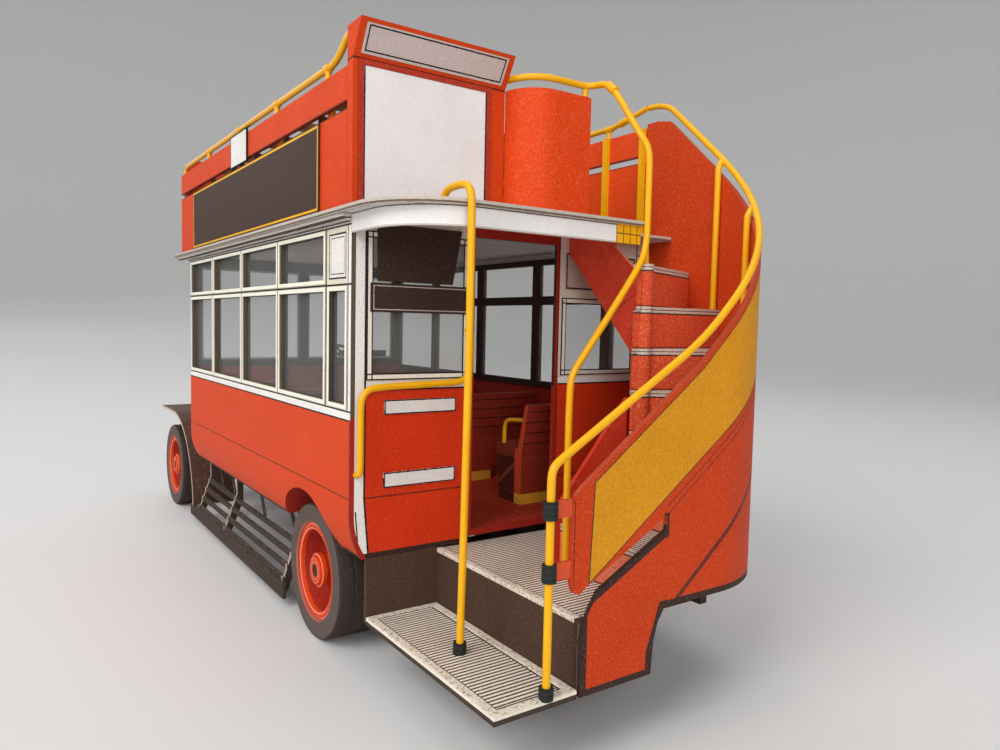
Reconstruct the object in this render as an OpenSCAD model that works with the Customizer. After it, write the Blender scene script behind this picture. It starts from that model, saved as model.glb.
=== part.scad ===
// Card display model of an open-top double decker bus, about 1:32, in millimetres.
// Modules measure X from the outer face of the rear bulkhead, +X forward, +Y nearside.
// Z is up from the ground, and in_frame() moves the whole model to its own origin.

/* [Body] */
// Width over the body sides
body_w = 67.5; // [60:0.5:76]
// Length from the rear bulkhead to the front bulkhead
saloon_len = 114.8; // [100:0.2:130]
// Thickness of the body card
card = 0.8; // [0.6:0.1:1.2]
// Height of the lower edge of the body sides
skirt_z = 21.6; // [20:0.2:23]
// Height of the saloon floor's top
floor_z = 23.8; // [23.2:0.2:25]
// Height of the upper deck's walking surface
deck_z = 80.7; // [76:0.1:86]
// Distance that the deck stands out past each body side
deck_lip = 2.4; // [1:0.2:3]
// Distance that the upper deck runs ahead of the front bulkhead
deck_nose = 10.5; // [6:0.5:16]

/* [Windows and door] */
// Distance from one window post to the next
bay_pitch = 26; // [22:0.5:29]
// Width of a window post
post_w = 2.2; // [1.6:0.1:3]
// Height of the lower edge of the side windows
sill_z = 48; // [46:0.2:50]
// Height of the bar between windows and top lights
light_bar_z = 67.4; // [64:0.2:69]
// Height of the top of the top lights
light_top_z = 77.2; // [75:0.1:78]
// Width of the doorway
door_w = 19; // [16:0.5:22]

/* [Upper deck] */
// Height of the lower side panel's top
deck_panel_z = 97.2; // [94:0.2:99]
// Height of the side strip's top
deck_strip_z = 104.1; // [102:0.1:106]
// Height of the centre of the side rails
deck_rail_z = 106.2; // [105.4:0.1:108]
// Number of seat rows on the upper deck
deck_rows = 5; // [3:1:5]

/* [Platform and stairs] */
// Length of the platform behind the saloon
platform_len = 39.5; // [34:0.5:44]
// Height of the platform
platform_z = 21.3; // [20.6:0.1:22]
// Place of the platform's nearside edge, from the centreline
platform_edge_y = 16.6; // [14:0.2:18]
// Height of the entry step
step_z = 11.2; // [9.6:0.2:13]
// Radius of the outer stair panel's corner
stair_r = 20.5; // [18:0.5:22]
// Diameter of the wire that rails and poles are made of
wire_d = 1.2; // [1:0.1:1.5]

/* [Wheels] */
// Radius of the tyres
tyre_r = 13.2; // [12:0.1:14]
// Distance from the front axle to the rear axle
wheelbase = 127.4; // [120:0.2:136]
// Distance from the rear bulkhead forward to the rear axle
rear_axle_x = 22.6; // [21:0.2:26]
// Distance between the outer faces of a pair of tyres
track_outer = 63; // [60:0.5:65]
// Width of a rear tyre
rear_tyre_w = 9.6; // [7:0.2:11]
// Width of a front tyre
front_tyre_w = 5.4; // [4:0.2:7]
// Radius of the axle pins
pin_r = 1.2; // [1:0.1:1.6]
// Clearance between an axle pin and its wheel
pin_clearance = 0.06; // [0.02:0.01:0.1]

/* [Hidden] */
$fn = 48;
gap = 0.3;
half_w = body_w / 2;
inner_y = half_w - card;
front_axle_x = rear_axle_x + wheelbase;
deck_front_x = saloon_len + deck_nose;
stair_in_y = -12.4;
stair_turn = [stair_r - platform_len, stair_r - half_w];
nose_x = front_axle_x + 20;
tail_x = -platform_len - 0.6;
mid_x = (nose_x + tail_x) / 2;
frame_top = floor_z - 1.2;
bonnet_w = 20;

// ---- helpers -------------------------------------------------------------------------------

module in_frame() translate([-mid_x, 0, 0]) children();

// An (x, z) outline as a sheet from y0 towards +Y
module sheet_xz(y0, t) translate([0, y0 + t, 0]) rotate([90, 0, 0]) linear_extrude(t) children();

// A (y, z) outline as a sheet from x0 towards +X
module sheet_yz(x0, t) translate([x0, 0, 0]) rotate([90, 0, 90]) linear_extrude(t) children();

module box(lo, hi) translate(lo) cube(hi - lo);

module rect(x0, y0, x1, y1) translate([x0, y0]) square([x1 - x0, y1 - y0]);

// Both hands of a piece that is drawn on the nearside
module both_hands() {
    children();
    mirror([0, 1, 0]) children();
}

// Both halves of an outline whose first direction is Y
module both_halves() {
    children();
    mirror([1, 0]) children();
}

function unit(v) = v / norm(v);

function tangents(p) = [for (i = [0 : len(p) - 1])
    unit(p[min(i + 1, len(p) - 1)] - p[max(i - 1, 0)])];

// Normals carried along the tangents without twist
function carried(t, n, i = 0) = i == len(t) ? [] :
    let (m = unit(n - (n * t[i]) * t[i])) concat([m], carried(t, m, i + 1));

// A round wire along a path; start is any direction square to its first stretch
module wire(path, start, d = wire_d, sides = 10) {
    t = tangents(path);
    n = carried(t, start);
    count = len(path);
    rings = [for (i = [0 : count - 1]) for (k = [0 : sides - 1])
        let (a = 360 * k / sides) path[i] + d / 2 * (cos(a) * n[i] + sin(a) * cross(t[i], n[i]))];
    walls = [for (i = [0 : count - 2]) for (k = [0 : sides - 1])
        let (a = i * sides + k, b = i * sides + (k + 1) % sides) [a, a + sides, b + sides, b]];
    ends = [[for (k = [0 : sides - 1]) k],
        [for (k = [0 : sides - 1]) (count - 1) * sides + sides - 1 - k]];
    polyhedron(rings, concat(walls, ends), convexity = 6);
}

module rod(a, b, d = wire_d) {
    v = b - a;
    translate(a) rotate([0, acos(v.z / norm(v)), atan2(v.y, v.x)]) cylinder(d = d, h = norm(v));
}

// ---- running gear --------------------------------------------------------------------------

frame_y = 11.5;
frame_rail_w = 1.6;
frame_rail_h = 4.6;
frame_base = frame_top - frame_rail_h;

module chassis_frame() color("#3a2622") {
    both_hands() difference() {
        sheet_xz(frame_y - frame_rail_w, frame_rail_w)
            polygon([[1.2 - platform_len, platform_z - 1], [card + 0.1, platform_z - 1],
                [card + 0.1, frame_top], [front_axle_x + 9, frame_top], [nose_x - 3, frame_top - 5],
                [nose_x - 2, frame_top - 8], [nose_x - 4, frame_top - 8.5],
                [front_axle_x + 13, frame_base], [1.2 - platform_len, frame_base]]);
        translate([nose_x - 3.4, frame_y + 1, frame_top - 6.8]) rotate([90, 0, 0])
            cylinder(r = 0.6, h = 6);
    }
    inner = frame_y - frame_rail_w;
    for (x = [3 - platform_len, 2, saloon_len / 2, saloon_len, front_axle_x + 3])
        box([x, -inner, frame_base], [x + 1.6, inner, frame_base + 2.2]);
}

spring_w = 2.2;
spring_y = frame_y - spring_w / 2;
spring_lift = frame_base - tyre_r - 1.55;

module leaf_springs() color("#3a2622") both_hands()
    for (axle = [[front_axle_x, 12], [rear_axle_x, 17]])
        sheet_xz(spring_y - spring_w / 2, spring_w) {
            half = axle[1];
            base = tyre_r + 1.5;
            top = base + spring_lift;
            translate([axle[0], 0]) polygon([[-half, top - 0.8], [-half * 0.45, base + 0.8],
                [-2.4, base], [2.4, base], [half * 0.45, base + 0.8], [half, top - 0.8],
                [half, top], [half - 1.6, top], [half * 0.45, base + 2.1], [0, base + 1.8],
                [-half * 0.45, base + 2.1], [1.6 - half, top], [-half, top]]);
        }

pin_out = track_outer / 2 - 0.4;

module axle_pins(x, w) both_hands() {
    translate([x, track_outer / 2 - w - gap, tyre_r]) rotate([-90, 0, 0])
        cylinder(r = pin_r, h = pin_out - track_outer / 2 + w + gap);
}

module front_axle() color("#3a2622") {
    axle_pins(front_axle_x, front_tyre_w);
    end_y = track_outer / 2 - front_tyre_w - gap;
    box([front_axle_x - 1.6, -end_y, tyre_r - 1.5], [front_axle_x + 1.6, end_y, tyre_r + 1.5]);
}

module rear_axle() color("#3a2622") {
    axle_pins(rear_axle_x, rear_tyre_w);
    end_y = track_outer / 2 - rear_tyre_w - gap;
    translate([rear_axle_x, -end_y, tyre_r]) rotate([-90, 0, 0]) cylinder(r = 1.5, h = 2 * end_y);
    translate([rear_axle_x, 0, tyre_r]) sphere(r = 4.4);
    both_hands() box([rear_axle_x - 2, spring_y - 1.1, tyre_r - 1.5],
        [rear_axle_x + 2, spring_y + 1.1, tyre_r + 1.5]);
}

rim_r = 9.4;

// The wheel stands on its side, outer face at y = 0, inner face at y = -w
module wheel_disc(w) rotate([90, 0, 0]) rotate_extrude() {
    bore = pin_r + pin_clearance;
    recess = min(3, w - 2);
    difference() {
        rect(bore, 0.4, rim_r, w);
        rect(6.6, -1, rim_r - 1.3, recess);
        polygon([[3.4, -1], [3.4, recess - 0.6], [6.7, recess], [6.7, -1]]);
        rect(4.4, recess + 1.4, rim_r - 1.3, w + 1);
    }
    rect(bore, 0, 2.6, 0.5);
}

module tyre_ring(w) rotate([90, 0, 0]) rotate_extrude() {
    bevel = 0.5;
    polygon([[rim_r, 0.2], [tyre_r - bevel, 0], [tyre_r, bevel], [tyre_r, w - bevel],
        [tyre_r - bevel, w], [rim_r, w - 0.2]]);
}

module at_wheel(x, side) translate([x, side * track_outer / 2, tyre_r])
    mirror([0, side > 0 ? 0 : 1, 0]) children();

module tyre(x, side, w) color("#5a524d") at_wheel(x, side) tyre_ring(w);

module wheel(x, side, w) color("#d8452a") at_wheel(x, side) wheel_disc(w);

// ---- saloon --------------------------------------------------------------------------------

first_post_x = 10.8;
corner_post_w = 2.2;
arch_r = tyre_r + 3.3;
arch_top_z = tyre_r + arch_r;
rocker_z = 29.2;
rocker_in = 2.2;
rocker_drop = rocker_z - skirt_z;
rocker_r = (pow(rocker_drop, 2) + pow(rocker_in, 2)) / (2 * rocker_in);

// Side window edges along X: a narrow light at the rear, then equal bays
bays = floor((saloon_len - first_post_x - 12) / bay_pitch) + 1;
function post_x(i) = first_post_x + i * bay_pitch;
front_post_x = saloon_len - corner_post_w;

module side_windows() {
    rect(corner_post_w, sill_z, post_x(0) - post_w / 2, light_bar_z);
    for (i = [0 : bays - 1]) {
        x0 = post_x(i) + post_w / 2;
        x1 = min(post_x(i + 1) - post_w / 2, front_post_x);
        rect(x0, sill_z, x1, light_bar_z);
        rect(x0, light_bar_z + 1.8, x1, light_top_z);
    }
}

// The body side's line in (y, z) from its rocker down, drawn in by an inset
rocker_steps = 8;
function rocker_line(inset) = let (r = rocker_r - inset, sweep = asin(rocker_drop / r))
    [for (i = [0 : rocker_steps]) let (a = -sweep * i / rocker_steps)
        [half_w - rocker_r + r * cos(a), rocker_z + r * sin(a)]];

// Half of the body's section, up to a top
module half_section(inset, top)
    polygon(concat([[0, top], [half_w - inset, top]], rocker_line(inset), [[0, skirt_z]]));

// Section of a body side, as thick as the card
module side_section(top) {
    inner = rocker_line(card);
    polygon(concat([[half_w, top]], rocker_line(0),
        [for (i = [0 : rocker_steps]) inner[rocker_steps - i]], [[inner_y, top]]));
}

module body_side() difference() {
    sheet_yz(0, saloon_len) side_section(deck_z - card);
    sheet_xz(inner_y - 1, card + 2) side_windows();
    translate([rear_axle_x, half_w + 1, tyre_r]) rotate([90, 0, 0])
        cylinder(r = arch_r + card + 0.02, h = 8);
}

module nearside_side() color("#d8452a") body_side();

module offside_side() color("#d8452a") mirror([0, 1, 0]) body_side();

module bulkhead_outline() difference() {
    both_halves() half_section(card + 0.02, deck_z - card);
    rect(-frame_y - 0.1, skirt_z - 1, frame_y + 0.1, frame_top + 0.02);
}

window_edge_y = half_w - 3;
door_jamb_w = 1.8;
rear_window_z = 52.6;

// The window on the stairs' side ends at the bar, under a blank panel
module rear_bulkhead() color("#d8452a") sheet_yz(0, card) difference() {
    bulkhead_outline();
    rect(-door_w / 2, floor_z, door_w / 2, light_top_z + 0.7);
    rect(door_w / 2 + door_jamb_w, rear_window_z, window_edge_y, light_top_z - 0.4);
    rect(-window_edge_y, rear_window_z, -door_w / 2 - door_jamb_w, light_bar_z);
}

module front_bulkhead() color("#d8452a") sheet_yz(saloon_len - card, card) difference() {
    bulkhead_outline();
    both_halves() rect(1.4, sill_z + 2, window_edge_y, light_top_z - 0.4);
}

pane = 0.25;

module saloon_glazing() color([0.8, 0.86, 0.88, 0.35]) {
    low = sill_z - 0.8;
    high = light_top_z + 0.8;
    both_hands() {
        sheet_xz(inner_y - pane, pane) rect(card + 1, low, saloon_len - card - 1, high);
        sheet_yz(card, pane) rect(door_w / 2 + 1, rear_window_z - 0.8, window_edge_y + 0.8, high);
        sheet_yz(saloon_len - card - pane, pane) rect(0.3, low + 2, window_edge_y + 0.8, high);
    }
}

box_in_y = track_outer / 2 - rear_tyre_w - 1.8;

// Closed inner arches over the rear wheels, whose rims show as the edge of each arch
module wheel_boxes() color("#a8281c") both_hands() intersection() {
    translate([rear_axle_x, half_w, tyre_r]) rotate([90, 0, 0]) difference() {
        cylinder(r = arch_r + card, h = half_w - box_in_y, $fn = 96);
        translate([0, 0, -1]) cylinder(r = arch_r, h = half_w - box_in_y - card + 1, $fn = 96);
    }
    sheet_yz(0, saloon_len / 2) half_section(0, sill_z);
}

module saloon_floor() color("#a8281c") difference() {
    y = inner_y - 1.8;
    box([card, -y, frame_top], [saloon_len - card, y, floor_z]);
    both_hands() translate([rear_axle_x, half_w, tyre_r]) rotate([90, 0, 0])
        cylinder(r = arch_r + card + 0.02, h = half_w - box_in_y + 0.02, $fn = 96);
}

seat_h = 13;
seat_aisle_y = 10;
seat_x0 = 9;
seat_pitch = bay_pitch;
seat_len = 12;
seat_rows = floor((saloon_len - seat_x0 - seat_len) / seat_pitch) + 1;

// A seat in (x, z): cushion, sloping back and closed base, faces forward
module seat_outline(z0) {
    polygon([[2, z0], [10, z0], [11.4, z0 + seat_h - 2.2], [11.4, z0 + seat_h - 0.6],
        [3.4, z0 + seat_h - 1.2], [1, z0 + seat_h + 8.6], [0, z0 + seat_h + 8.4],
        [2, z0 + seat_h - 2.4]]);
}

module saloon_seats() color("#b5652b") both_hands() for (i = [0 : seat_rows - 1]) {
    x = seat_x0 + i * seat_pitch;
    over_wheel = x < rear_axle_x + arch_r + card && x + 12 > rear_axle_x - arch_r - card;
    outer = over_wheel ? box_in_y - 0.3 : inner_y - pane - 1.8;
    translate([x, 0, 0]) sheet_xz(seat_aisle_y, outer - seat_aisle_y) seat_outline(floor_z);
    if (over_wheel) translate([x, 0, 0])
        sheet_xz(outer, inner_y - pane - 0.5 - outer) intersection() {
            seat_outline(floor_z);
            rect(-1, arch_top_z + card + 0.4, 20, deck_z);
        }
}

handle_d = 0.9;

// An arm rail on each seat's gangway end, from its back forward and down to the cushion
module seat_handles() color("#f2b705") both_hands() for (i = [0 : seat_rows - 1])
    translate([seat_x0 + i * seat_pitch, seat_aisle_y + 0.9, floor_z + seat_h])
        wire([[1.98, 0, 5], [7.6, 0, 4.6], [9, 0, 4.2], [9.7, 0, 2.8], [9.7, 0, -0.7]],
            [0, 1, 0], handle_d);

// ---- upper deck ----------------------------------------------------------------------------

lip_y = half_w + deck_lip;
canopy_x = -21;
canopy_corner = 13;
landing_x = -8;
canopy_end_y = stair_in_y + 0.4;

module deck_outline() {
    difference() {
        rect(0, -lip_y, deck_front_x + 2.5, lip_y);
        for (s = [-1, 1]) translate([deck_front_x + 2.5, s * lip_y]) difference() {
            square(10, center = true);
            translate([-5, -s * 5]) circle(r = 5);
        }
    }
    difference() {
        rect(canopy_x, canopy_end_y, 0.01, lip_y);
        translate([canopy_x, lip_y]) difference() {
            square(2 * canopy_corner, center = true);
            translate([canopy_corner, -canopy_corner]) circle(r = canopy_corner, $fn = 96);
        }
    }
    rect(landing_x, -inner_y + 0.1, 0.01, canopy_end_y + 0.01);
}

module upper_deck_floor() color("#8c8378")
    translate([0, 0, deck_z - card]) linear_extrude(card) deck_outline();

fascia_h = 3.2;
fascia_in = 0.8;

// The white board that hangs under the rear edge of the deck and round its corner
module rear_fascia() color("#efece4") translate([0, 0, deck_z - card - fascia_h])
    linear_extrude(fascia_h) {
        x = canopy_x + fascia_in;
        r = canopy_corner - fascia_in;
        centre = [x + r, half_w - r];
        rect(x, canopy_end_y, x + card, centre.y + 0.01);
        rect(centre.x - 0.01, half_w - card, -0.1, half_w);
        translate(centre) intersection() {
            difference() {
                circle(r = r, $fn = 96);
                circle(r = r - card, $fn = 96);
            }
            rect(-r - 1, 0, 0, r + 1);
        }
    }

box_depth = 2.2;
strip_z0 = deck_panel_z + 1.3;
deck_posts = 5;
function deck_post_x(i) = 12 + i * (deck_front_x - 15) / (deck_posts - 1);

module deck_side() {
    sheet_xz(inner_y, card) {
        rect(box_depth + 0.1, deck_z, deck_front_x, deck_panel_z);
        rect(box_depth + 0.1, strip_z0, deck_front_x, deck_strip_z);
    }
    for (i = [0 : deck_posts - 1])
        box([deck_post_x(i) - 0.7, inner_y - 1, deck_z],
            [deck_post_x(i) + 0.7, inner_y + 0.01, deck_strip_z]);
}

module deck_side_nearside() color("#d8452a") deck_side();

module deck_side_offside() color("#d8452a") {
    mirror([0, 1, 0]) deck_side();
    sheet_xz(-half_w, card) {
        rect(0.1, deck_z, box_depth + 0.2, deck_panel_z);
        rect(0.1, strip_z0, box_depth + 0.2, deck_strip_z);
    }
    box([0.1, -inner_y - 0.01, deck_z], [1.3, 1 - inner_y, deck_strip_z]);
}

front_panel_z = 108.9;

module deck_front_panel() color("#d8452a") {
    y = inner_y - 0.05;
    sheet_yz(deck_front_x - card, card) difference() {
        rect(-y, deck_z, y, front_panel_z);
        both_halves() translate([y, front_panel_z]) difference() {
            square(8, center = true);
            translate([-4, -4]) circle(r = 4);
        }
    }
    sheet_yz(deck_front_x, 0.6) rect(-22, deck_z + 12, 22, front_panel_z - 4);
}

board_y0 = 3.8;
rear_bow = 6.8;

module deck_rear_panel() color("#d8452a") translate([0, 0, deck_z]) linear_extrude(105 - deck_z) {
    end_y = canopy_end_y + 0.6;
    translate([0.1, board_y0 - rear_bow - 0.2]) intersection() {
        difference() {
            circle(r = rear_bow, $fn = 96);
            circle(r = rear_bow - card, $fn = 96);
        }
        rect(-rear_bow - 1, 0, 0, rear_bow + 1);
    }
    rect(0.1 - rear_bow, end_y, 0.1 - rear_bow + card, board_y0 - rear_bow - 0.19);
}

header_z = 105;
header_top_z = 110.4;
header_lean = 3.3;

module destination_box() color("#d8452a") {
    box([0, board_y0, deck_z], [box_depth, half_w, header_z]);
    sheet_xz(board_y0, half_w - board_y0) polygon([[0, header_z], [box_depth, header_z],
        [box_depth, header_top_z], [-header_lean, header_top_z]]);
}

board_t = 0.4;

module side_boards() color("#3a2622") both_hands() {
    sheet_xz(half_w, board_t) rect(14, deck_z + 0.8, deck_front_x - 16.5, deck_panel_z - 0.2);
    sheet_xz(half_w, board_t) rect(57.8, deck_panel_z + 0.4, 70.6, deck_strip_z + 0.9);
}

deck_seat_x0 = 20;
deck_seat_pitch = (deck_front_x - deck_seat_x0 - 6) / deck_rows;
deck_seat_y = [10.5, 31];

// A slatted bench: two end frames, seat boards and back boards
module garden_seat() {
    w = deck_seat_y[1] - deck_seat_y[0];
    for (y = [deck_seat_y[0], deck_seat_y[0] + w / 2 - 0.4, deck_seat_y[1] - 0.8])
        sheet_xz(y, 0.8) polygon([[2.2, 0], [3.4, 0], [4, 10.4], [9.6, 10.4], [10.6, 0],
            [11.8, 0], [11.2, 11.4], [4.2, 11.4], [1.2, 23], [0.2, 22.8], [2.9, 11]]);
    for (x = [4.6, 7.2, 9.8])
        box([x, deck_seat_y[0], 11.39], [x + 2, deck_seat_y[1], 12]);
    for (z = [14, 17.4, 20.8])
        translate([2.9 + (11 - z) * 0.229 - 0.9, deck_seat_y[0], z]) rotate([0, -12.9, 0])
            cube([0.9, w, 2]);
}

module deck_seats() color("#6b4a33") both_hands() for (i = [0 : deck_rows - 1])
    translate([deck_seat_x0 + i * deck_seat_pitch, 0, deck_z]) garden_seat();

// ---- rails ---------------------------------------------------------------------------------

rail_y = half_w - wire_d / 2 - 0.05;

module deck_rail(rear) color("#f2b705") {
    front = deck_post_x(deck_posts - 1);
    wire(concat(rear, [[front - 2, rail_y, deck_rail_z], [front - 0.6, rail_y, deck_rail_z - 0.4],
        [front, rail_y, deck_rail_z - 1.4], [front, rail_y, deck_strip_z + 0.02]]), [0, 0, 1]);
    for (i = [0 : deck_posts - 2])
        rod([deck_post_x(i), rail_y, deck_strip_z + 0.02], [deck_post_x(i), rail_y, deck_rail_z]);
}

module deck_rail_nearside() deck_rail([[box_depth + 0.1, rail_y, header_top_z - 1],
    [4, rail_y, header_top_z - 1.2], [5.6, rail_y, header_top_z - 2.4],
    [7.4, rail_y, deck_rail_z + 0.8], [9.6, rail_y, deck_rail_z]]);

module deck_rail_offside() mirror([0, 1, 0])
    deck_rail([[0.2, rail_y, deck_rail_z + 2.2], [5, rail_y, deck_rail_z + 1.2],
        [9, rail_y, deck_rail_z + 0.4], [11, rail_y, deck_rail_z]]);

// ---- platform ------------------------------------------------------------------------------

module platform_outline(inset) {
    c = stair_turn;
    r = stair_r - inset;
    x = inset - platform_len;
    y = inset - half_w;
    rect(x, c.y, -0.1, platform_edge_y);
    rect(c.x, y, -0.1, c.y + 0.01);
    translate(c) circle(r = r, $fn = 96);
}

module platform() color("#d9d2c4") {
    translate([0, 0, platform_z - 1]) linear_extrude(1) intersection() {
        platform_outline(card + 0.1);
        rect(-platform_len, -half_w, -0.1, platform_edge_y);
    }
    box([1.2 - platform_len, platform_edge_y - card, step_z - 1],
        [-0.1, platform_edge_y, platform_z - 0.99]);
}

step_out_y = 30.6;

module entry_step() color("#d9d2c4") box([-platform_len, platform_edge_y + 0.05, step_z - 1.2],
    [-0.1, step_out_y, step_z]);

module platform_valance() color("#3a2622")
    box([0, platform_edge_y, step_z - 1], [card, step_out_y, skirt_z - 0.05]);

// ---- stairs --------------------------------------------------------------------------------

risers = 8;
rise = (deck_z - platform_z) / risers;
newel = [-21.2, stair_in_y - 0.2];
newel_r = 1.4;
tread_t = 0.8;
first_riser_y = 4;
second_riser_y = -6.5;
winder_first = -156;
winder_last = -68;
winder_step = (winder_last - winder_first) / 4;
inner_x = -19.6;

function level(k) = platform_z + k * rise;
function winder_point(i) = newel + 60 * [cos(winder_first + i * winder_step),
    sin(winder_first + i * winder_step)];

// Plan of the stairs, inside the outer panel and clear of the inner stringer
module stair_plan() intersection() {
    platform_outline(card + 0.1);
    union() {
        rect(-60, newel.y, inner_x, first_riser_y + 1);
        rect(-60, -60, landing_x, stair_in_y - card);
    }
}

// Ends of each riser line, from the inner end outwards
function riser_line(k) =
    k == 1 ? [[0, first_riser_y], [-60, first_riser_y]] :
    k == 2 ? [[0, second_riser_y], [-60, second_riser_y]] :
    k <= 7 ? [newel, winder_point(k - 3)] : [[landing_x, 0], [landing_x, -60]];

// Area of the tread that follows riser k
module tread_area(k) {
    a = riser_line(k);
    b = riser_line(k + 1);
    if (k == 1) polygon([a[0], a[1], b[1], b[0]]);
    else polygon([a[0], a[1], b[1], b[0]]);
}

module riser_area(k) {
    l = riser_line(k);
    along = unit(l[1] - l[0]);
    uphill = tread_t * [along.y, -along.x];
    polygon([l[0] - 2 * along, l[1], l[1] - uphill, l[0] - 2 * along - uphill]);
}

module stair_treads() color("#d9a08c") {
    for (k = [1 : 7]) {
        translate([0, 0, level(k) - tread_t]) linear_extrude(tread_t) intersection() {
            stair_plan();
            tread_area(k);
        }
        translate([0, 0, level(k - 1) - (k == 1 ? 0 : tread_t)])
            linear_extrude(rise - (k == 1 ? tread_t : 0)) intersection() {
                stair_plan();
                riser_area(k);
            }
    }
    translate([newel.x, newel.y, level(2) - tread_t])
        cylinder(r = newel_r, h = level(7) - level(2) + tread_t);
}

module stair_inner_stringer() color("#d8452a") {
    x0 = newel.x + newel_r + 0.05;
    sheet_xz(stair_in_y - card + 0.05, card - 0.1) polygon([[x0, 56], [x0, 71.5],
        [-13, deck_z - card - fascia_h + 0.4], [-13, deck_z - card - 0.05],
        [-0.1, deck_z - card - 0.05], [-0.1, 76.6]]);
    sheet_yz(inner_x + 0.05, card) polygon([[first_riser_y + 1.6, platform_z],
        [first_riser_y + 1.6, platform_z + 9], [newel.y + newel_r + 0.5, level(3) + 6],
        [newel.y + newel_r + 0.5, level(2) - 3], [second_riser_y, platform_z]]);
}

// The outer panel is measured along its own face: s = 0 at the platform's nearside edge
s_turn = platform_edge_y - stair_turn.y;
s_side = s_turn + stair_r * PI / 2;
s_end = s_side - stair_turn.x - 0.1;

// A point of the panel's plan, at a distance inside its outer face
function panel_point(s, inside) =
    s < s_turn ? [inside - platform_len, platform_edge_y - s] :
    s < s_side ? let (a = 180 + (s - s_turn) / stair_r * 180 / PI)
        stair_turn + (stair_r - inside) * [cos(a), sin(a)] :
    [stair_turn.x + s - s_side, inside - half_w];

slope_change = 24;
panel_top_z = 105;
function panel_top(s) = min(panel_top_z,
    40 + 0.72 * min(s, slope_change) + 0.93 * max(0, s - slope_change));

// A length of the panel between a lower and an upper edge, each a list of [s, low, high]
module panel_strip(cuts) {
    n = len(cuts);
    ring = [for (c = cuts) let (o = panel_point(c[0], 0), i = panel_point(c[0], card))
        each [[o.x, o.y, c[1]], [o.x, o.y, c[2]], [i.x, i.y, c[2]], [i.x, i.y, c[1]]]];
    walls = [for (j = [0 : n - 2]) for (k = [0 : 3])
        let (a = 4 * j + k, b = 4 * j + (k + 1) % 4) [a, b, b + 4, a + 4]];
    polyhedron(ring, concat(walls, [[3, 2, 1, 0], [for (k = [0 : 3]) 4 * (n - 1) + k]]),
        convexity = 8);
}

skirt_low = step_z - 1.2;
skirt_high = platform_z - 1.5;
leg_end = 14.5;
slot_end = 17;
band_start = -1.6;
function band_low(s) = 25.2 + 0.52 * s;
function slot_low(s) = band_low(s) - 2.3;

module stair_outer_panel() color("#d8452a") {
    // skirt with its leg down to the step
    panel_strip([[0.6, skirt_low, 18], [0.9, skirt_low, 20], [2, skirt_low, 22.4],
        [3.6, skirt_low, slot_low(3.6)], [leg_end, skirt_low, slot_low(leg_end)]]);
    panel_strip([[leg_end - 0.01, skirt_low, slot_low(leg_end)], [leg_end + 0.4, 15, slot_low(15)],
        [leg_end + 1.2, 17.8, slot_low(15.6)], [slot_end + 0.01, skirt_high, slot_low(slot_end)]]);
    // band above the slot
    panel_strip([[band_start, 27, 37.5], [band_start + 0.5, 25.4, 39], [band_start + 1.6, 24.9, 40],
        [0.8, band_low(0.8), panel_top(0.8)], [slot_end + 0.01, band_low(slot_end), panel_top(slot_end)]]);
    // whole panel round the corner and forward
    panel_strip(concat([[slot_end, skirt_high, panel_top(slot_end)], [slope_change, skirt_high,
        panel_top(slope_change)]], [for (i = [0 : 24]) let (s = s_turn + (s_side - s_turn) * i / 24)
        [s, skirt_high, panel_top(s)]], [for (i = [1 : 6]) let (s = s_side + (s_end - s_side) * i / 6)
        [s, skirt_high, panel_top(s)]]));
}

pole_y = 21.8;
rail_in = card / 2;
function rail_height(s) = min(108.4, 46.3 + 0.59 * min(s, slope_change)
    + 0.92 * max(0, s - slope_change));
function rail_point(s) = let (p = panel_point(s, rail_in)) [p.x, p.y, rail_height(s)];

// A post that stands on tread k just inside the panel and steps out to the rail above it
module rail_post(s, k) {
    p = panel_point(s, card + wire_d / 2 + 0.1);
    turn = panel_top(s) + 0.9;
    wire([[p.x, p.y, level(k) + 0.02], [p.x, p.y, turn - 0.5], [p.x, p.y, turn], rail_point(s)],
        [1, 0, 0]);
}

module stair_outer_rail() color("#f2b705") {
    x = rail_in - platform_len;
    top = rail_height(-3.4);
    wire(concat([[x, pole_y, step_z + 0.02], [x, pole_y, top - 5], [x, pole_y, top - 2],
        [x, pole_y - 0.5, top - 0.9]], [for (i = [0 : 8]) rail_point(-3.4 + i * (s_turn + 3.4) / 8)],
        [for (i = [1 : 12]) rail_point(s_turn + i * (s_side - s_turn) / 12)],
        [for (i = [1 : 4]) rail_point(s_side + i * (s_end - s_side - 0.1) / 4)]), [1, 0, 0]);
    rail_post(s_side - 1, 6);
    rail_post(s_side - 12, 5);
}

module stair_inner_rail() color("#f2b705") {
    x = inner_x - 2.2;
    z = 107;
    c = [0.1, board_y0 - rear_bow - 0.2];
    r = rear_bow - card / 2;
    post_y = canopy_end_y + 1;
    wire(concat([for (a = [92 : 11 : 180]) [c.x + r * cos(a), c.y + r * sin(a), z]],
        [[c.x - r, post_y + 3, z], [c.x - r - 0.3, post_y + 0.8, z], [c.x - r - 1.4, post_y - 0.3, z],
        [-10.5, post_y - 0.6, z - 0.2], [-13, post_y - 0.7, z - 2.2], [-19, post_y - 0.8, 96.6],
        [-20.6, newel.y, 94], [newel.x, newel.y, 92], [newel.x, newel.y, 78],
        [newel.x, newel.y + 0.4, 76], [x, newel.y + 1.6, 73.6],
        [x, first_riser_y - 1.2, 56], [x, first_riser_y + 0.2, 54], [x, first_riser_y + 0.6, 51.6],
        [x, first_riser_y + 0.6, platform_z + 0.02]]), [0, 0, 1]);
    rod([c.x - r, post_y + 0.9, 105.02], [c.x - r, post_y + 0.9, z]);
    rod([newel.x, newel.y, level(7) + 0.02], [newel.x, newel.y + 0.2, 76.6], 1);
}

pole_x = canopy_x - 0.7;

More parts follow.
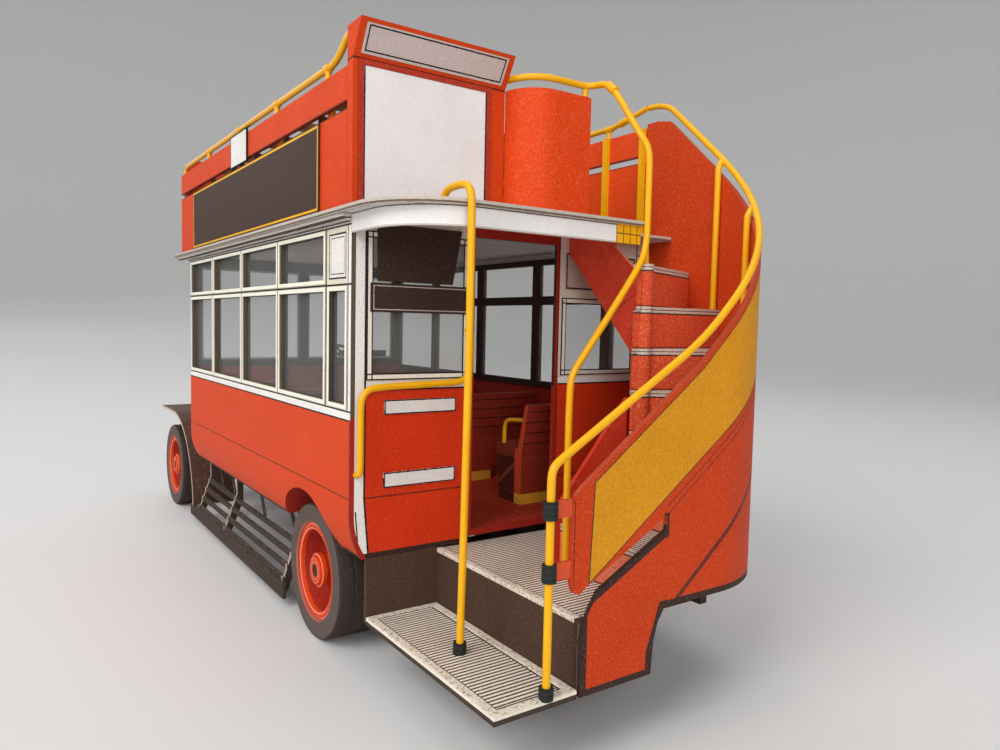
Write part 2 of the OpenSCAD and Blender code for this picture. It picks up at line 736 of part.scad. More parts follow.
module platform_pole() color("#f2b705") {
    y = 24.2;
    wire([[pole_x + 1.2, y, step_z + 0.02], [pole_x + 0.4, y, 40], [pole_x, y, 60], [pole_x, y, 80],
        [pole_x + 0.3, y, 81.6], [pole_x + 1.2, y, 82.7], [pole_x + 2.6, y, 83.1],
        [pole_x + 6, y, 83.1], [pole_x + 7.6, y, 82.6], [pole_x + 8.4, y, 81.6],
        [pole_x + 8.6, y, deck_z + 0.02]], [0, 1, 0]);
}

module bulkhead_grab_rail() color("#f2b705") {
    x = -1.7;
    wire([[-0.02, 11.2, 61], [x + 0.5, 11.2, 60.9], [x, 11.2, 60], [x, 11.2, 54.4], [x, 11.6, 52.8],
        [x, 13, 51.8], [x, 15, 51.6], [x, 29.4, 51.2], [x, 31.4, 50.8], [x, 32.4, 49.6],
        [x, 32.6, 48], [x, 32.6, 37.4], [x + 0.5, 32.6, 36.5], [-0.02, 32.6, 36.3]], [0, 1, 0]);
}

collar_d = 2;

// Black collars at the feet of the poles, and the bands with tabs that hold pole to panel
module pole_fittings() color("#22252a") {
    x = rail_in - platform_len;
    for (foot = [[x, pole_y, step_z], [pole_x + 1.2, 24.2, step_z]])
        translate(foot) difference() {
            cylinder(d = collar_d, h = 1.6);
            translate([0, 0, -1]) cylinder(d = wire_d + 0.1, h = 4);
        }
    for (z = [27.6, 36.2]) {
        translate([x, pole_y, z]) difference() {
            cylinder(d = collar_d, h = 2.4);
            translate([0, 0, -1]) cylinder(d = wire_d + 0.1, h = 5);
        }
        box([x - 0.3, platform_edge_y - band_start + 0.05, z],
            [x + 0.3, pole_y - collar_d / 2 + 0.1, z + 2.4]);
    }
}

// ---- fittings ------------------------------------------------------------------------------

module rear_plates() color("#2b2624") {
    sheet_yz(-0.6, 0.55) polygon([[12.8, 78.6], [29.2, 78.6], [29, 69], [14.6, 69]]);
    sheet_yz(-0.6, 0.55) rect(10.8, 63.8, 30.4, 68.7);
    for (z = [[46.3, 48.8], [33.6, 36.2]]) sheet_yz(-0.35, 0.3) rect(13.4, z[0], 27.6, z[1]);
}

mudguard_r = 27;
guard_x = [41, front_axle_x - mudguard_r - 4.5];
guard_board_x = [40, front_axle_x - 24];
guard_y = [27.5, 31.6];
slats = 4;
guard_board_z = tyre_r - 8;

// Slatted guard between the wheels, hung from the frame by card hangers
module side_guards() color("#4a3a33") both_hands() {
    for (i = [0 : slats - 1]) {
        t = i / (slats - 1);
        y = guard_y[0] + t * (guard_y[1] - guard_y[0] - 1.2);
        z = 14 - t * 7.6;
        box([guard_x[0], y, z - 1.1], [guard_x[1], y + 0.8, z]);
    }
    box([guard_board_x[0], guard_y[1] - 0.8, 2], [guard_board_x[1], guard_y[1], guard_board_z]);
    for (x = [guard_x[0] + 0.6, (guard_x[0] + guard_x[1]) / 2 + 9, guard_x[1] - 2])
        sheet_yz(x, 0.8) polygon([[guard_y[0] - 1.4, frame_top - 0.05], [guard_y[0] + 0.4, frame_top - 0.05],
            [guard_y[0] + 0.2, 15], [guard_y[1] - 0.5, guard_board_z],
            [guard_y[1] - 0.5, 2.6],
            [guard_y[1] - 1.4, 2.6], [guard_y[0] - 1.4, 13]]);
}

mudguard_y = [19.6, 32];
mudguard_z = tyre_r + 18.3;

// Points of the guard's line in (x, z), from its front edge back and down behind the wheel
function guard_line(inset) = let (x = front_axle_x - 2, z = mudguard_z - mudguard_r)
    concat([[front_axle_x + 16.5, mudguard_z - inset]], [for (a = [90 : 4 : 178])
        [x + (mudguard_r - inset) * cos(a), z + (mudguard_r - inset) * sin(a)]]);

module front_mudguards() color("#4a2c22") both_hands() {
    t = 0.6;
    outer = guard_line(0);
    inner = guard_line(t);
    back = len(inner) - 1;
    sheet_xz(mudguard_y[0], mudguard_y[1] - mudguard_y[0])
        polygon(concat(outer, [for (i = [0 : back]) inner[back - i]]));
    // inner splash plate, with two brackets to the frame
    sheet_xz(mudguard_y[0], t) polygon(concat([for (i = [0 : back]) if (inner[i].y > 15) inner[i]],
        [[front_axle_x - 25, 15], [front_axle_x + 10, 15], [front_axle_x + 16, mudguard_z - 8]]));
    for (x = [-11, 1]) box([front_axle_x + x, frame_y, frame_top - 1.4],
        [front_axle_x + x + 2.4, mudguard_y[0] + 0.01, frame_top]);
}

bonnet_x = [saloon_len, front_axle_x + 6];
bonnet_z = 42;

module bonnet_outline(grow) {
    w = bonnet_w / 2 + grow;
    top = bonnet_z + grow;
    polygon([[-w, frame_top], [-w, top - 6], [-w + 6.5, top], [w - 6.5, top], [w, top - 6],
        [w, frame_top]]);
}

module bonnet() color("#b9302a") sheet_yz(bonnet_x[0] + 0.05, bonnet_x[1] - bonnet_x[0] - 0.1)
    difference() {
        bonnet_outline(0);
        polygon([[1 - bonnet_w / 2, frame_top - 1], [1 - bonnet_w / 2, bonnet_z - 6.4],
            [7 - bonnet_w / 2, bonnet_z - 1], [bonnet_w / 2 - 7, bonnet_z - 1],
            [bonnet_w / 2 - 1, bonnet_z - 6.4], [bonnet_w / 2 - 1, frame_top - 1]]);
    }

module radiator() color("#8f8a80") {
    x = bonnet_x[1];
    sheet_yz(x, 3.6) difference() {
        union() {
            bonnet_outline(1);
            rect(-9.8, frame_top - 3.5, 9.8, frame_top + 0.01);
        }
        both_halves() rect(9.8, frame_top - 5, 14, frame_top + 0.2);
    }
    translate([x + 1.8, 0, bonnet_z + 0.9]) cylinder(r = 1.7, h = 2.4);
}

module starting_handle() color("#3a2622") {
    z = frame_top - 5.6;
    x = bonnet_x[1] + 3.6;
    rod([x - 2, 0, z], [nose_x - 0.6, 0, z], 1.1);
    box([nose_x - 1.2, -0.5, z - 4], [nose_x, 0.5, z + 0.5]);
    rod([nose_x - 0.6, 0, z - 4.2], [nose_x - 0.6, 4, z - 4.2], 1.1);
    box([x - 2.4, -1.4, z - 1], [x - 0.8, 1.4, frame_top - 3.52]);
}

cab_x = front_axle_x - 2;
cab_y = [-31.4, -bonnet_w / 2 - 1];
cab_floor_z = mudguard_z + 0.05;

module driver_cab() color("#b9302a") {
    box([saloon_len + 0.05, cab_y[0], cab_floor_z], [cab_x, cab_y[1], cab_floor_z + 1]);
    box([cab_x - card, cab_y[0], cab_floor_z], [cab_x, cab_y[1], cab_floor_z + 15]);
    sheet_xz(cab_y[0], card) polygon([[saloon_len + 0.05, cab_floor_z], [cab_x, cab_floor_z],
        [cab_x, cab_floor_z + 15], [cab_x - 6, cab_floor_z + 13], [cab_x - 14, cab_floor_z + 8],
        [saloon_len + 8, cab_floor_z + 8], [saloon_len + 0.05, cab_floor_z + 12]]);
}

module driver_seat() color("#5a3a28") {
    z = cab_floor_z + 1;
    box([saloon_len + 1, cab_y[0] + 2.4, z], [saloon_len + 11, cab_y[1] - 2, z + 8]);
    box([saloon_len + 0.6, cab_y[0] + 2.4, z + 7.9], [saloon_len + 2.6, cab_y[1] - 2, z + 20]);
}

module steering_wheel() color("#3a2622") {
    y = (cab_y[0] + cab_y[1]) / 2;
    foot = [cab_x - 2.4, y, cab_floor_z + 1.4];
    head = [cab_x - 13, y, cab_floor_z + 19];
    rod(foot, head, 1.1);
    v = unit(head - foot);
    translate(head) rotate([0, acos(v.z) * -1, 0]) {
        rotate_extrude() translate([5.4, 0]) circle(d = 1, $fn = 24);
        for (a = [0 : 90 : 270]) rotate([0, 90, a]) cylinder(d = 0.7, h = 5.3);
        cylinder(r = 1.2, h = 1, center = true);
    }
}

module headlamps() color("#3a2622") both_hands() {
    x = bonnet_x[1] - 1;
    y = bonnet_w / 2 + 5;
    z = frame_top + 7;
    translate([x, y, z]) rotate([0, 90, 0]) cylinder(r = 3.1, h = 3.2);
    translate([x - 2, y, z]) rotate([0, 90, 0]) cylinder(r1 = 1.6, r2 = 2.8, h = 2.01);
    box([x + 0.6, y - 0.6, frame_top + 0.1], [x + 1.8, y + 0.6, z - 2.8]);
    box([x + 0.6, frame_y, frame_top - 1], [x + 1.8, y + 0.6, frame_top + 0.11]);
}

// ---- drawing -------------------------------------------------------------------------------

front_x = front_axle_x;
rear_x = rear_axle_x;
in_frame() chassis_frame();
in_frame() front_axle();
in_frame() rear_axle();
in_frame() leaf_springs();
in_frame() saloon_floor();
in_frame() wheel_boxes();
in_frame() nearside_side();
in_frame() offside_side();
in_frame() rear_bulkhead();
in_frame() front_bulkhead();
in_frame() saloon_glazing();
in_frame() saloon_seats();
in_frame() seat_handles();
in_frame() upper_deck_floor();
in_frame() rear_fascia();
in_frame() deck_side_nearside();
in_frame() deck_side_offside();
in_frame() deck_front_panel();
in_frame() deck_rear_panel();
in_frame() destination_box();
in_frame() side_boards();
in_frame() deck_seats();
in_frame() deck_rail_nearside();
in_frame() deck_rail_offside();
in_frame() platform();
in_frame() entry_step();
in_frame() platform_valance();
in_frame() stair_treads();
in_frame() stair_inner_stringer();
in_frame() stair_outer_panel();
in_frame() stair_outer_rail();
in_frame() stair_inner_rail();
in_frame() platform_pole();
in_frame() bulkhead_grab_rail();
in_frame() pole_fittings();
in_frame() rear_plates();
in_frame() side_guards();
in_frame() front_mudguards();
in_frame() bonnet();
in_frame() radiator();
in_frame() starting_handle();
in_frame() driver_cab();
in_frame() driver_seat();
in_frame() steering_wheel();
in_frame() headlamps();
in_frame() tyre(front_x, 1, front_tyre_w);  // front_left_tyre
in_frame() wheel(front_x, 1, front_tyre_w);  // front_left_wheel
in_frame() tyre(front_x, -1, front_tyre_w);  // front_right_tyre
in_frame() wheel(front_x, -1, front_tyre_w);  // front_right_wheel
in_frame() tyre(rear_x, 1, rear_tyre_w);  // rear_left_tyre
in_frame() wheel(rear_x, 1, rear_tyre_w);  // rear_left_wheel
in_frame() tyre(rear_x, -1, rear_tyre_w);  // rear_right_tyre
in_frame() wheel(rear_x, -1, rear_tyre_w);  // rear_right_wheel
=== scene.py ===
"""Looks of a card model of an open-top double decker bus, built up as the model is put together."""

import math

import bpy
from mathutils import Matrix, Vector


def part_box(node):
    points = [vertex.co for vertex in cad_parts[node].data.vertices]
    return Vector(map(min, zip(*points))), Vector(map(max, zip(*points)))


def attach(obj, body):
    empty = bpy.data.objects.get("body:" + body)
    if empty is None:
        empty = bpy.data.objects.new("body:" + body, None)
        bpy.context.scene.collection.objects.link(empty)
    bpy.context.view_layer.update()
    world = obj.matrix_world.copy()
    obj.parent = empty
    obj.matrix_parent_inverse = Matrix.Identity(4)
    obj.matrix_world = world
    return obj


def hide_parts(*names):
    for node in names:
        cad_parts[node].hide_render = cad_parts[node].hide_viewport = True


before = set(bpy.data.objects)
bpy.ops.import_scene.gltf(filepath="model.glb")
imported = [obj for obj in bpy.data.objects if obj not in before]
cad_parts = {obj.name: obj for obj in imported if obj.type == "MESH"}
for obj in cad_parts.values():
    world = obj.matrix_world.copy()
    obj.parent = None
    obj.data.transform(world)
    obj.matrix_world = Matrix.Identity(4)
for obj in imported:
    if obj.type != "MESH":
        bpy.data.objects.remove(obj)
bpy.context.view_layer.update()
scene = bpy.context.scene

# ---- Table, lights and camera ---------------------------------------------------------------
# The model stands on a pale sheet that sweeps up all round, far outside every view.
# A large soft box lights it from above its nearside, with weaker ones overhead and behind.
MM = 0.001
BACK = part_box("rear_bulkhead")[0].x


def place(x, y, z):
    """A point in millimetres: ahead of the saloon's rear face, to the nearside, and up."""
    return Vector((BACK + x * MM, y * MM, z * MM))


def clear():
    bpy.ops.object.select_all(action="DESELECT")


SWEEP = [(0, 0), (750, 0), (950, 12), (1150, 60), (1320, 160), (1450, 340), (1520, 620), (1550, 1000)]


def turned(profile, centre, axis, steps):
    """A shape turned on a lathe from (radius, distance along the axis) points in millimetres."""
    clear()
    across = Vector(axis).orthogonal().normalized()
    along = Vector(axis).normalized()
    points = [Vector(centre) + r * MM * across + a * MM * along for r, a in profile]
    bpy.ops.mesh.primitive_plane_add(size=MM, location=points[0])
    piece = bpy.context.object
    bpy.ops.object.transform_apply(location=True, rotation=True, scale=True)
    bpy.ops.object.mode_set(mode="EDIT")
    bpy.ops.mesh.select_mode(type="VERT")
    bpy.ops.mesh.select_all(action="SELECT")
    bpy.ops.mesh.merge(type="CENTER")
    for before, after in zip(points, points[1:]):
        bpy.ops.mesh.extrude_region_move(TRANSFORM_OT_translate={"value": after - before})
    bpy.ops.mesh.select_all(action="SELECT")
    bpy.ops.mesh.spin(steps=steps, angle=math.tau, center=centre, axis=along)
    bpy.ops.mesh.select_all(action="SELECT")
    bpy.ops.mesh.remove_doubles(threshold=0.01 * MM)
    bpy.ops.mesh.dissolve_degenerate(threshold=0.002 * MM)
    bpy.ops.mesh.normals_make_consistent(inside=False)
    bpy.ops.object.mode_set(mode="OBJECT")
    bpy.ops.object.shade_smooth_by_angle(angle=math.radians(35))
    return piece


table = turned(SWEEP, (0, 0, 0), (0, 0, 1), 96)
table.name = "table"
bpy.ops.object.mode_set(mode="EDIT")
bpy.ops.mesh.select_all(action="SELECT")
bpy.ops.mesh.flip_normals()
bpy.ops.object.mode_set(mode="OBJECT")

sheet = bpy.data.materials.new("table_sheet")
sheet.use_nodes = True
sheet.node_tree.nodes["Principled BSDF"].inputs["Base Color"].default_value = (0.70, 0.70, 0.70, 1)
sheet.node_tree.nodes["Principled BSDF"].inputs["Roughness"].default_value = 0.8
table.data.materials.append(sheet)

for name, spot, size, power, tint in (
    ("key_box", (-0.25, 0.85, 0.75), 0.7, 8.5, (1, 0.985, 0.96)),
    ("overhead_box", (0.1, -0.1, 1.1), 1.0, 3.6, (1, 1, 1)),
    ("rear_box", (-0.95, 0.4, 0.42), 0.6, 4.6, (1, 0.98, 0.96)),
    ("front_box", (0.9, 0.1, 0.6), 0.7, 1.6, (1, 1, 1)),
):
    light = bpy.data.lights.new(name, "AREA")
    light.size = size
    light.energy = power
    light.color = tint
    holder = bpy.data.objects.new(name, light)
    holder.location = spot
    holder.rotation_euler = (Vector((0, 0, 0.05)) - Vector(spot)).to_track_quat("-Z", "Y").to_euler()
    scene.collection.objects.link(holder)

world = bpy.data.worlds.new("studio")
scene.world = world
world.use_nodes = True
world.node_tree.nodes["Background"].inputs["Color"].default_value = (0.86, 0.88, 0.9, 1)
world.node_tree.nodes["Background"].inputs["Strength"].default_value = 0.22

HEADING = math.radians(-35) + 0.006663
PITCH = 0.067037
ROLL = 0.021233
look = Vector((math.cos(HEADING) * math.cos(PITCH), math.sin(HEADING) * math.cos(PITCH), -math.sin(PITCH)))
level = Vector((math.sin(HEADING), -math.cos(HEADING), 0))
upright = level.cross(look)
right = level * math.cos(ROLL) + upright * math.sin(ROLL)
up = upright * math.cos(ROLL) - level * math.sin(ROLL)
camera = bpy.data.objects.new("camera", bpy.data.cameras.new("camera"))
camera.data.lens = 27.255
camera.data.sensor_width = 36
camera.data.clip_start = 0.005
camera.matrix_world = Matrix((
    (right.x, up.x, -look.x, -0.182398),
    (right.y, up.y, -look.y, 0.084624),
    (right.z, up.z, -look.z, 0.062198),
    (0, 0, 0, 1),
))
scene.collection.objects.link(camera)
scene.camera = camera
scene.view_settings.view_transform = "Standard"


# ---- Chassis, axles and springs --------------------------------------------------------------
# Frame, axles and springs are layers of card printed dark brown, with the pale cut edge
# rubbed over. The paint below is also what every other printed card of the model starts from.
def sums(operation, swapped=False):
    """An operator that adds one Math node."""

    def apply(self, other=None):
        pair = (other, self) if swapped else (self, other)
        return self.paint.node("ShaderNodeMath", {"operation": operation}, *pair)

    return apply


class Reading:
    """A number that varies over a surface."""

    def __init__(self, paint, socket):
        self.paint = paint
        self.socket = socket

    __add__ = __radd__ = sums("ADD")
    __mul__ = __rmul__ = sums("MULTIPLY")
    __sub__ = sums("SUBTRACT")
    __rsub__ = sums("SUBTRACT", swapped=True)
    __mod__ = sums("FLOORED_MODULO")
    __lt__ = sums("LESS_THAN")
    __gt__ = sums("GREATER_THAN")
    __and__ = sums("MINIMUM")
    __or__ = sums("MAXIMUM")
    __abs__ = sums("ABSOLUTE")


class Paint:
    """A procedural finish, in millimetres from the saloon's rear face, the middle and the ground."""

    def __init__(self, name, ink, rough=0.55, wobble=0.1, **sockets):
        self.material = bpy.data.materials.new(name)
        self.material.use_nodes = True
        self.tree = self.material.node_tree
        self.shader = self.tree.nodes["Principled BSDF"]
        self.rough = rough
        self.shader.inputs["Specular IOR Level"].default_value = 0.12
        for socket, value in sockets.items():
            self.shader.inputs[socket.replace("_", " ")].default_value = value
        where = self.node("ShaderNodeTexCoord", out="Object")
        self.point = self.vector("MULTIPLY_ADD", where, (1 / MM,) * 3, (-BACK / MM, 0, 0))
        shaken = self.point
        if wobble:
            shake = self.node("ShaderNodeTexNoise", None, out="Color", Vector=self.point, Scale=2.6, Detail=1)
            shaken = self.vector("MULTIPLY_ADD", shake, (wobble,) * 3, self.point)
            shaken = self.vector("SUBTRACT", shaken, (wobble / 2,) * 3)
        self.x, self.y, self.z = self.parts(shaken)
        self.nx, self.ny, self.nz = self.parts(self.node("ShaderNodeTexCoord", out="Normal"))
        self.colour = (*ink, 1)

    def node(self, kind, settings=None, *values, out=0, **named):
        """Any node: its settings first, then the values or links of its sockets."""
        made = self.tree.nodes.new(kind)
        for setting, value in (settings or {}).items():
            setattr(made, setting, value)
        for socket, value in [*enumerate(values), *named.items()]:
            if isinstance(value, Reading):
                self.tree.links.new(value.socket, made.inputs[socket])
            elif value is not None:
                made.inputs[socket].default_value = value
        return Reading(self, made.outputs[out])

    def vector(self, operation, *values):
        return self.node("ShaderNodeVectorMath", {"operation": operation}, *values)

    def parts(self, vector):
        return [self.node("ShaderNodeSeparateXYZ", None, vector, out=i) for i in range(3)]

    def noise(self, scale, detail=2, stretch=(1, 1, 1)):
        at = self.point if stretch == (1, 1, 1) else self.vector("MULTIPLY", self.point, stretch)
        return self.node("ShaderNodeTexNoise", None, Vector=at, Scale=scale, Detail=detail)

    def mix(self, blend, share, under, over):
        """Two colours mixed; a Mix node keeps its colour sockets after its six plain ones."""
        settings = {"data_type": "RGBA", "blend_type": blend}
        return self.node("ShaderNodeMix", settings, share, *[None] * 5, under, over, out=2)

    def coat(self, mask, ink):
        """Prints an ink over what is there, where the mask says."""
        self.colour = self.mix("MIX", mask, self.colour, (*ink, 1))
        return self

    def span(self, value, low, high):
        return (value > low) & (value < high)

    def line(self, value, middle, width=0.3):
        return abs(value - middle) < width / 2

    def box(self, across, upward, a0, b0, a1, b1):
        """Inside a rectangle of two coordinates."""
        return self.span(across, a0, a1) & self.span(upward, b0, b1)

    def outline(self, across, upward, a0, b0, a1, b1, width=0.3):
        inner = self.box(across, upward, a0 + width, b0 + width, a1 - width, b1 - width)
        return self.box(across, upward, a0, b0, a1, b1) & (1 - inner)

    def finish(self, grain=0.24, flecks=0.16, relief=0.45, height=None):
        """Paper fibre, faded patches, pale flecks and a slight tooth over the print."""
        fibre = self.noise(2.3, 4)
        cloud = self.noise(0.09, 2)
        if flecks:
            self.coat((self.noise(4.6, 1) > 0.68) * flecks, (0.80, 0.62, 0.52))
        value = (fibre - 0.5) * grain * 2 + (cloud - 0.5) * 0.22 + 1
        shade = self.mix("MULTIPLY", 1, self.colour, value)
        self.tree.links.new(shade.socket, self.shader.inputs["Base Color"])
        rough = (fibre - 0.5) * 0.22 + self.rough
        self.tree.links.new(rough.socket, self.shader.inputs["Roughness"])
        tooth = fibre if height is None else fibre * 0.3 + height
        bump = self.node("ShaderNodeBump", out="Normal", Strength=relief, Distance=0.06 * MM, Height=tooth)
        self.tree.links.new(bump.socket, self.shader.inputs["Normal"])
        return self

    def on(self, *nodes):
        """Gives the finish to CAD nodes."""
        for node in nodes:
            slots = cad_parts[node].data.materials
            slots.clear()
            slots.append(self.material)
        return self


BROWN = (0.040, 0.019, 0.014)
BLACK = (0.012, 0.010, 0.010)
CREAM = (0.70, 0.64, 0.51)

# From here on, p is whichever paint is being mixed.
p = Paint("chassis_card", BROWN)
p.coat((p.noise(3.1, 3) > 0.62) * 0.35, (0.10, 0.06, 0.045)).finish(flecks=0)
p.on("chassis_frame", "front_axle", "rear_axle", "leaf_springs", "starting_handle")


# ---- Wheels and tyres ------------------------------------------------------------------------
# Each wheel is rolled and stacked card: a rim round a deep dished well, with a stepped hub that
# stands up in it. The tyre is a thick grey-brown ring with a darker tread.
RED = (0.61, 0.050, 0.004)
DARK_RED = (0.34, 0.020, 0.010)
PINK = (0.80, 0.25, 0.17)
TYRE_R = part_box("rear_left_tyre")[1].z / MM / 2


def own(piece, name, paint, stands_for=None, body="bus"):
    """Names a finished piece, gives it its finish and lets it ride, in a CAD node's place or as an extra."""
    piece.name = name
    piece.data.name = name
    piece.data.materials.clear()
    piece.data.materials.append(paint.material)
    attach(piece, body)
    if stands_for:
        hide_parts(stands_for)


def radius_about(paint, x):
    """Distance from a wheel's centre line."""
    ahead, above = paint.x - x, paint.z - TYRE_R
    return paint.node("ShaderNodeMath", {"operation": "SQRT"}, ahead * ahead + above * above)


for body, corner in (("front_left", 1), ("front_right", -1), ("rear_left", 1), ("rear_right", -1)):
    low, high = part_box(body + "_tyre")
    middle = (low + high) / 2
    width = (high.y - low.y) / MM
    outer_y = high.y if corner > 0 else low.y
    centre = (middle.x, outer_y, middle.z)
    inward = (0, -corner, 0)
    well = min(width - 0.8, 5.2)
    wheel_x = (middle.x - BACK) / MM

    tyre_profile = [(9.42, 0.3), (9.7, 0.1), (10.4, 0), (12.5, 0), (12.85, 0.08), (13.1, 0.3), (13.2, 0.65)]
    grooves = [(13.2, width * f + d) if d in (-0.3, 0.3) else (13.05, width * f + d)
               for f in (0.33, 0.67) for d in (-0.3, -0.2, 0.2, 0.3)]
    tyre_profile += grooves
    tyre_profile += [(13.2, width - 0.65), (13.1, width - 0.3), (12.85, width - 0.08), (12.5, width)]
    tyre_profile += [(9.42, width - 0.2), (9.42, 0.3)]
    rubber = Paint(body + "_tyre_card", (0.105, 0.078, 0.070), rough=0.7)
    from_hub = radius_about(rubber, wheel_x)
    rubber.coat(from_hub > 12.9, (0.045, 0.030, 0.026))
    rubber.coat(rubber.line(from_hub, 9.55, 0.3), (0.42, 0.10, 0.07))
    rubber.coat((rubber.noise(3.4, 3) > 0.6) * 0.3, (0.16, 0.12, 0.11))
    rubber.finish(grain=0.2, flecks=0)
    tyre = turned(tyre_profile, centre, inward, 96)
    own(tyre, body + "_card_tyre", rubber, body + "_tyre", body + "_roadwheel")

    wheel_profile = [
        (1.3, 0.35), (2.5, 0.32), (2.75, 0.45), (2.8, 0.75), (3.2, 0.8), (3.35, 0.95), (3.35, 1.7),
        (3.2, 1.85), (2.75, 1.9), (2.7, well - 0.7), (3.0, well - 0.35), (3.8, well - 0.1), (4.6, well),
        (6.6, well - 0.15), (7.5, well - 0.5), (7.9, well - 1.1), (7.95, 0.75), (8.05, 0.55), (8.35, 0.42),
        (8.9, 0.42), (9.15, 0.5), (9.38, 0.62), (9.38, width - 0.2), (8.2, width - 0.2), (8.0, well + 0.5),
        (1.3, well + 0.5), (1.3, 0.35),
    ]
    enamel = Paint(body + "_wheel_card", RED, rough=0.5)
    from_hub = radius_about(enamel, wheel_x)
    depth = abs(enamel.y - outer_y / MM)
    for ring in (0.9, 1.7, 2.4, 3.2):
        enamel.coat(enamel.line(from_hub, ring, 0.16) & (depth < 1.9), PINK)
    enamel.coat((enamel.line(from_hub, 8.25, 0.22) | enamel.line(from_hub, 9.2, 0.26)) & (depth < 1.2), PINK)
    enamel.coat((depth > 1.3) & (from_hub > 3.6), DARK_RED)
    enamel.coat(enamel.line(from_hub, 5.6, 0.2) & (depth > 1.3), (0.16, 0.012, 0.008))
    enamel.finish()
    wheel = turned(wheel_profile, centre, inward, 72)
    own(wheel, body + "_dished_wheel", enamel, body + "_wheel", body + "_roadwheel")


# ---- Body sides ------------------------------------------------------------------------------
# The saloon's sides are printed card: red with a white belt, cream window frames with black
# outlines, and a dark brown lining. The frames are a second layer of card glued on.
WHITE = (0.80, 0.77, 0.74)
LINING = (0.045, 0.020, 0.014)
HALF_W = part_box("nearside_side")[1].y / MM
INNER_Y = HALF_W - 0.8
LENGTH = (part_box("nearside_side")[1].x - BACK) / MM
SILL, BAR, LIGHT_TOP, FIRST_POST, PITCH_X = 48, 67.4, 77.2, 10.8, 26
WAIST, BELT = 32.1, 45.5

p = Paint("body_side_card", RED)
outside = p.ny * p.y > 8
bay = abs((p.x - FIRST_POST + PITCH_X / 2) % PITCH_X - PITCH_X / 2)
p.coat(p.z > BELT, WHITE)
frames = (p.z > 46.95) & (p.z < 78.1) & (p.x > 1.2) & (p.x < LENGTH - 1.0)
p.coat(frames, CREAM)
for middle, width in ((BELT - 0.05, 0.3), (46.95, 0.28), (78.15, 0.28), (68.3, 0.34)):
    p.coat(p.line(p.z, middle, width), BLACK)
posts = (bay < 0.2) & (p.x > 5) | p.line(p.x, 1.2, 0.26) | p.line(p.x, LENGTH - 1.0, 0.26)
p.coat(posts & (p.z > 46.9) & (p.z < 78.2), BLACK)
p.coat(p.box(p.x, p.z, 2.1, 69.3, 9.6, 77.1), (0.74, 0.71, 0.66))
for edges in ((2.1, 69.3, 9.6, 77.1, 0.3), (2.9, 70.1, 8.8, 76.4, 0.16)):
    p.coat(p.outline(p.x, p.z, *edges), BLACK)
p.coat(p.line(p.z, WAIST), (0.22, 0.02, 0.012))
p.coat(p.z < 22.3, BROWN)
p.coat((p.x < 0.5) & (p.z < BELT), (0.24, 0.03, 0.018))
lining = 1 - outside
p.coat(lining, LINING)
p.coat(lining & (p.z < 46.5), DARK_RED)
p.coat(lining & (p.z > 78.0), (0.42, 0.36, 0.31))
p.coat((abs(p.ny) < 0.3) & (p.z > 46) & (p.z < 78), (0.10, 0.075, 0.055))
p.finish().on("nearside_side", "offside_side")


def block(low, high):
    """A plain block between two corners, to be shaped."""
    clear()
    low, high = place(*low), place(*high)
    bpy.ops.mesh.primitive_cube_add(size=1, location=(low + high) / 2)
    piece = bpy.context.object
    piece.scale = high - low
    bpy.ops.object.transform_apply(location=True, rotation=True, scale=True)
    bpy.ops.object.mode_set(mode="EDIT")
    return piece


def bar(low, high, ease=0.06):
    """A strip of card between two corners, its edges eased."""
    piece = block(low, high)
    bpy.ops.mesh.select_all(action="SELECT")
    bpy.ops.mesh.bevel(offset=ease * MM, segments=2, affect="EDGES")
    bpy.ops.object.mode_set(mode="OBJECT")
    return piece


def frame_ring(low, high, width, across, ease=0.05):
    """A window frame cut from one card: a flat box whose middle is inset and cut out."""
    piece = block(low, high)
    bpy.ops.mesh.select_mode(type="FACE")
    bpy.ops.mesh.select_all(action="DESELECT")
    bpy.ops.object.mode_set(mode="OBJECT")
    for face in piece.data.polygons:
        face.select = abs(face.normal[across]) > 0.9
    bpy.ops.object.mode_set(mode="EDIT")
    bpy.ops.mesh.inset(thickness=width * MM)
    bpy.ops.mesh.bridge_edge_loops()
    bpy.ops.mesh.select_all(action="SELECT")
    bpy.ops.mesh.normals_make_consistent(inside=False)
    bpy.ops.mesh.bevel(offset=ease * MM, segments=1, affect="EDGES")
    bpy.ops.object.mode_set(mode="OBJECT")
    return piece


def joined(pieces):
    """Several parts glued up as one piece."""
    clear()
    for piece in pieces:
        piece.select_set(True)
    bpy.context.view_layer.objects.active = pieces[0]
    bpy.ops.object.join()
    return bpy.context.object


def copied(piece, dx=0):
    """A copy with its own mesh, moved forward by millimetres."""
    clear()
    piece.select_set(True)
    bpy.context.view_layer.objects.active = piece
    bpy.ops.object.duplicate()
    bpy.ops.transform.translate(value=(dx * MM, 0, 0))
    bpy.ops.object.transform_apply(location=True, rotation=True, scale=True)
    return bpy.context.object


def other_hand(piece):
    """The same piece for the offside, turned the right way out again."""
    made = copied(piece)
    made.scale = (1, -1, 1)
    bpy.ops.object.transform_apply(location=True, rotation=True, scale=True)
    bpy.ops.object.mode_set(mode="EDIT")
    bpy.ops.mesh.select_all(action="SELECT")
    bpy.ops.mesh.flip_normals()
    bpy.ops.object.mode_set(mode="OBJECT")
    return made


def with_other_hand(piece):
    return joined([piece, other_hand(piece)])


def both_sides(piece, name, paint):
    """One piece for the nearside and the same for the offside."""
    far_piece = other_hand(piece)
    own(piece, "nearside_" + name, paint)
    own(far_piece, "offside_" + name, paint)


p = frame_card = Paint("window_frame_card", (0.84, 0.81, 0.70), rough=0.6, wobble=0.06)
p.coat(abs(p.ny) < 0.6, (0.07, 0.06, 0.04))
p.finish(grain=0.2, flecks=0)

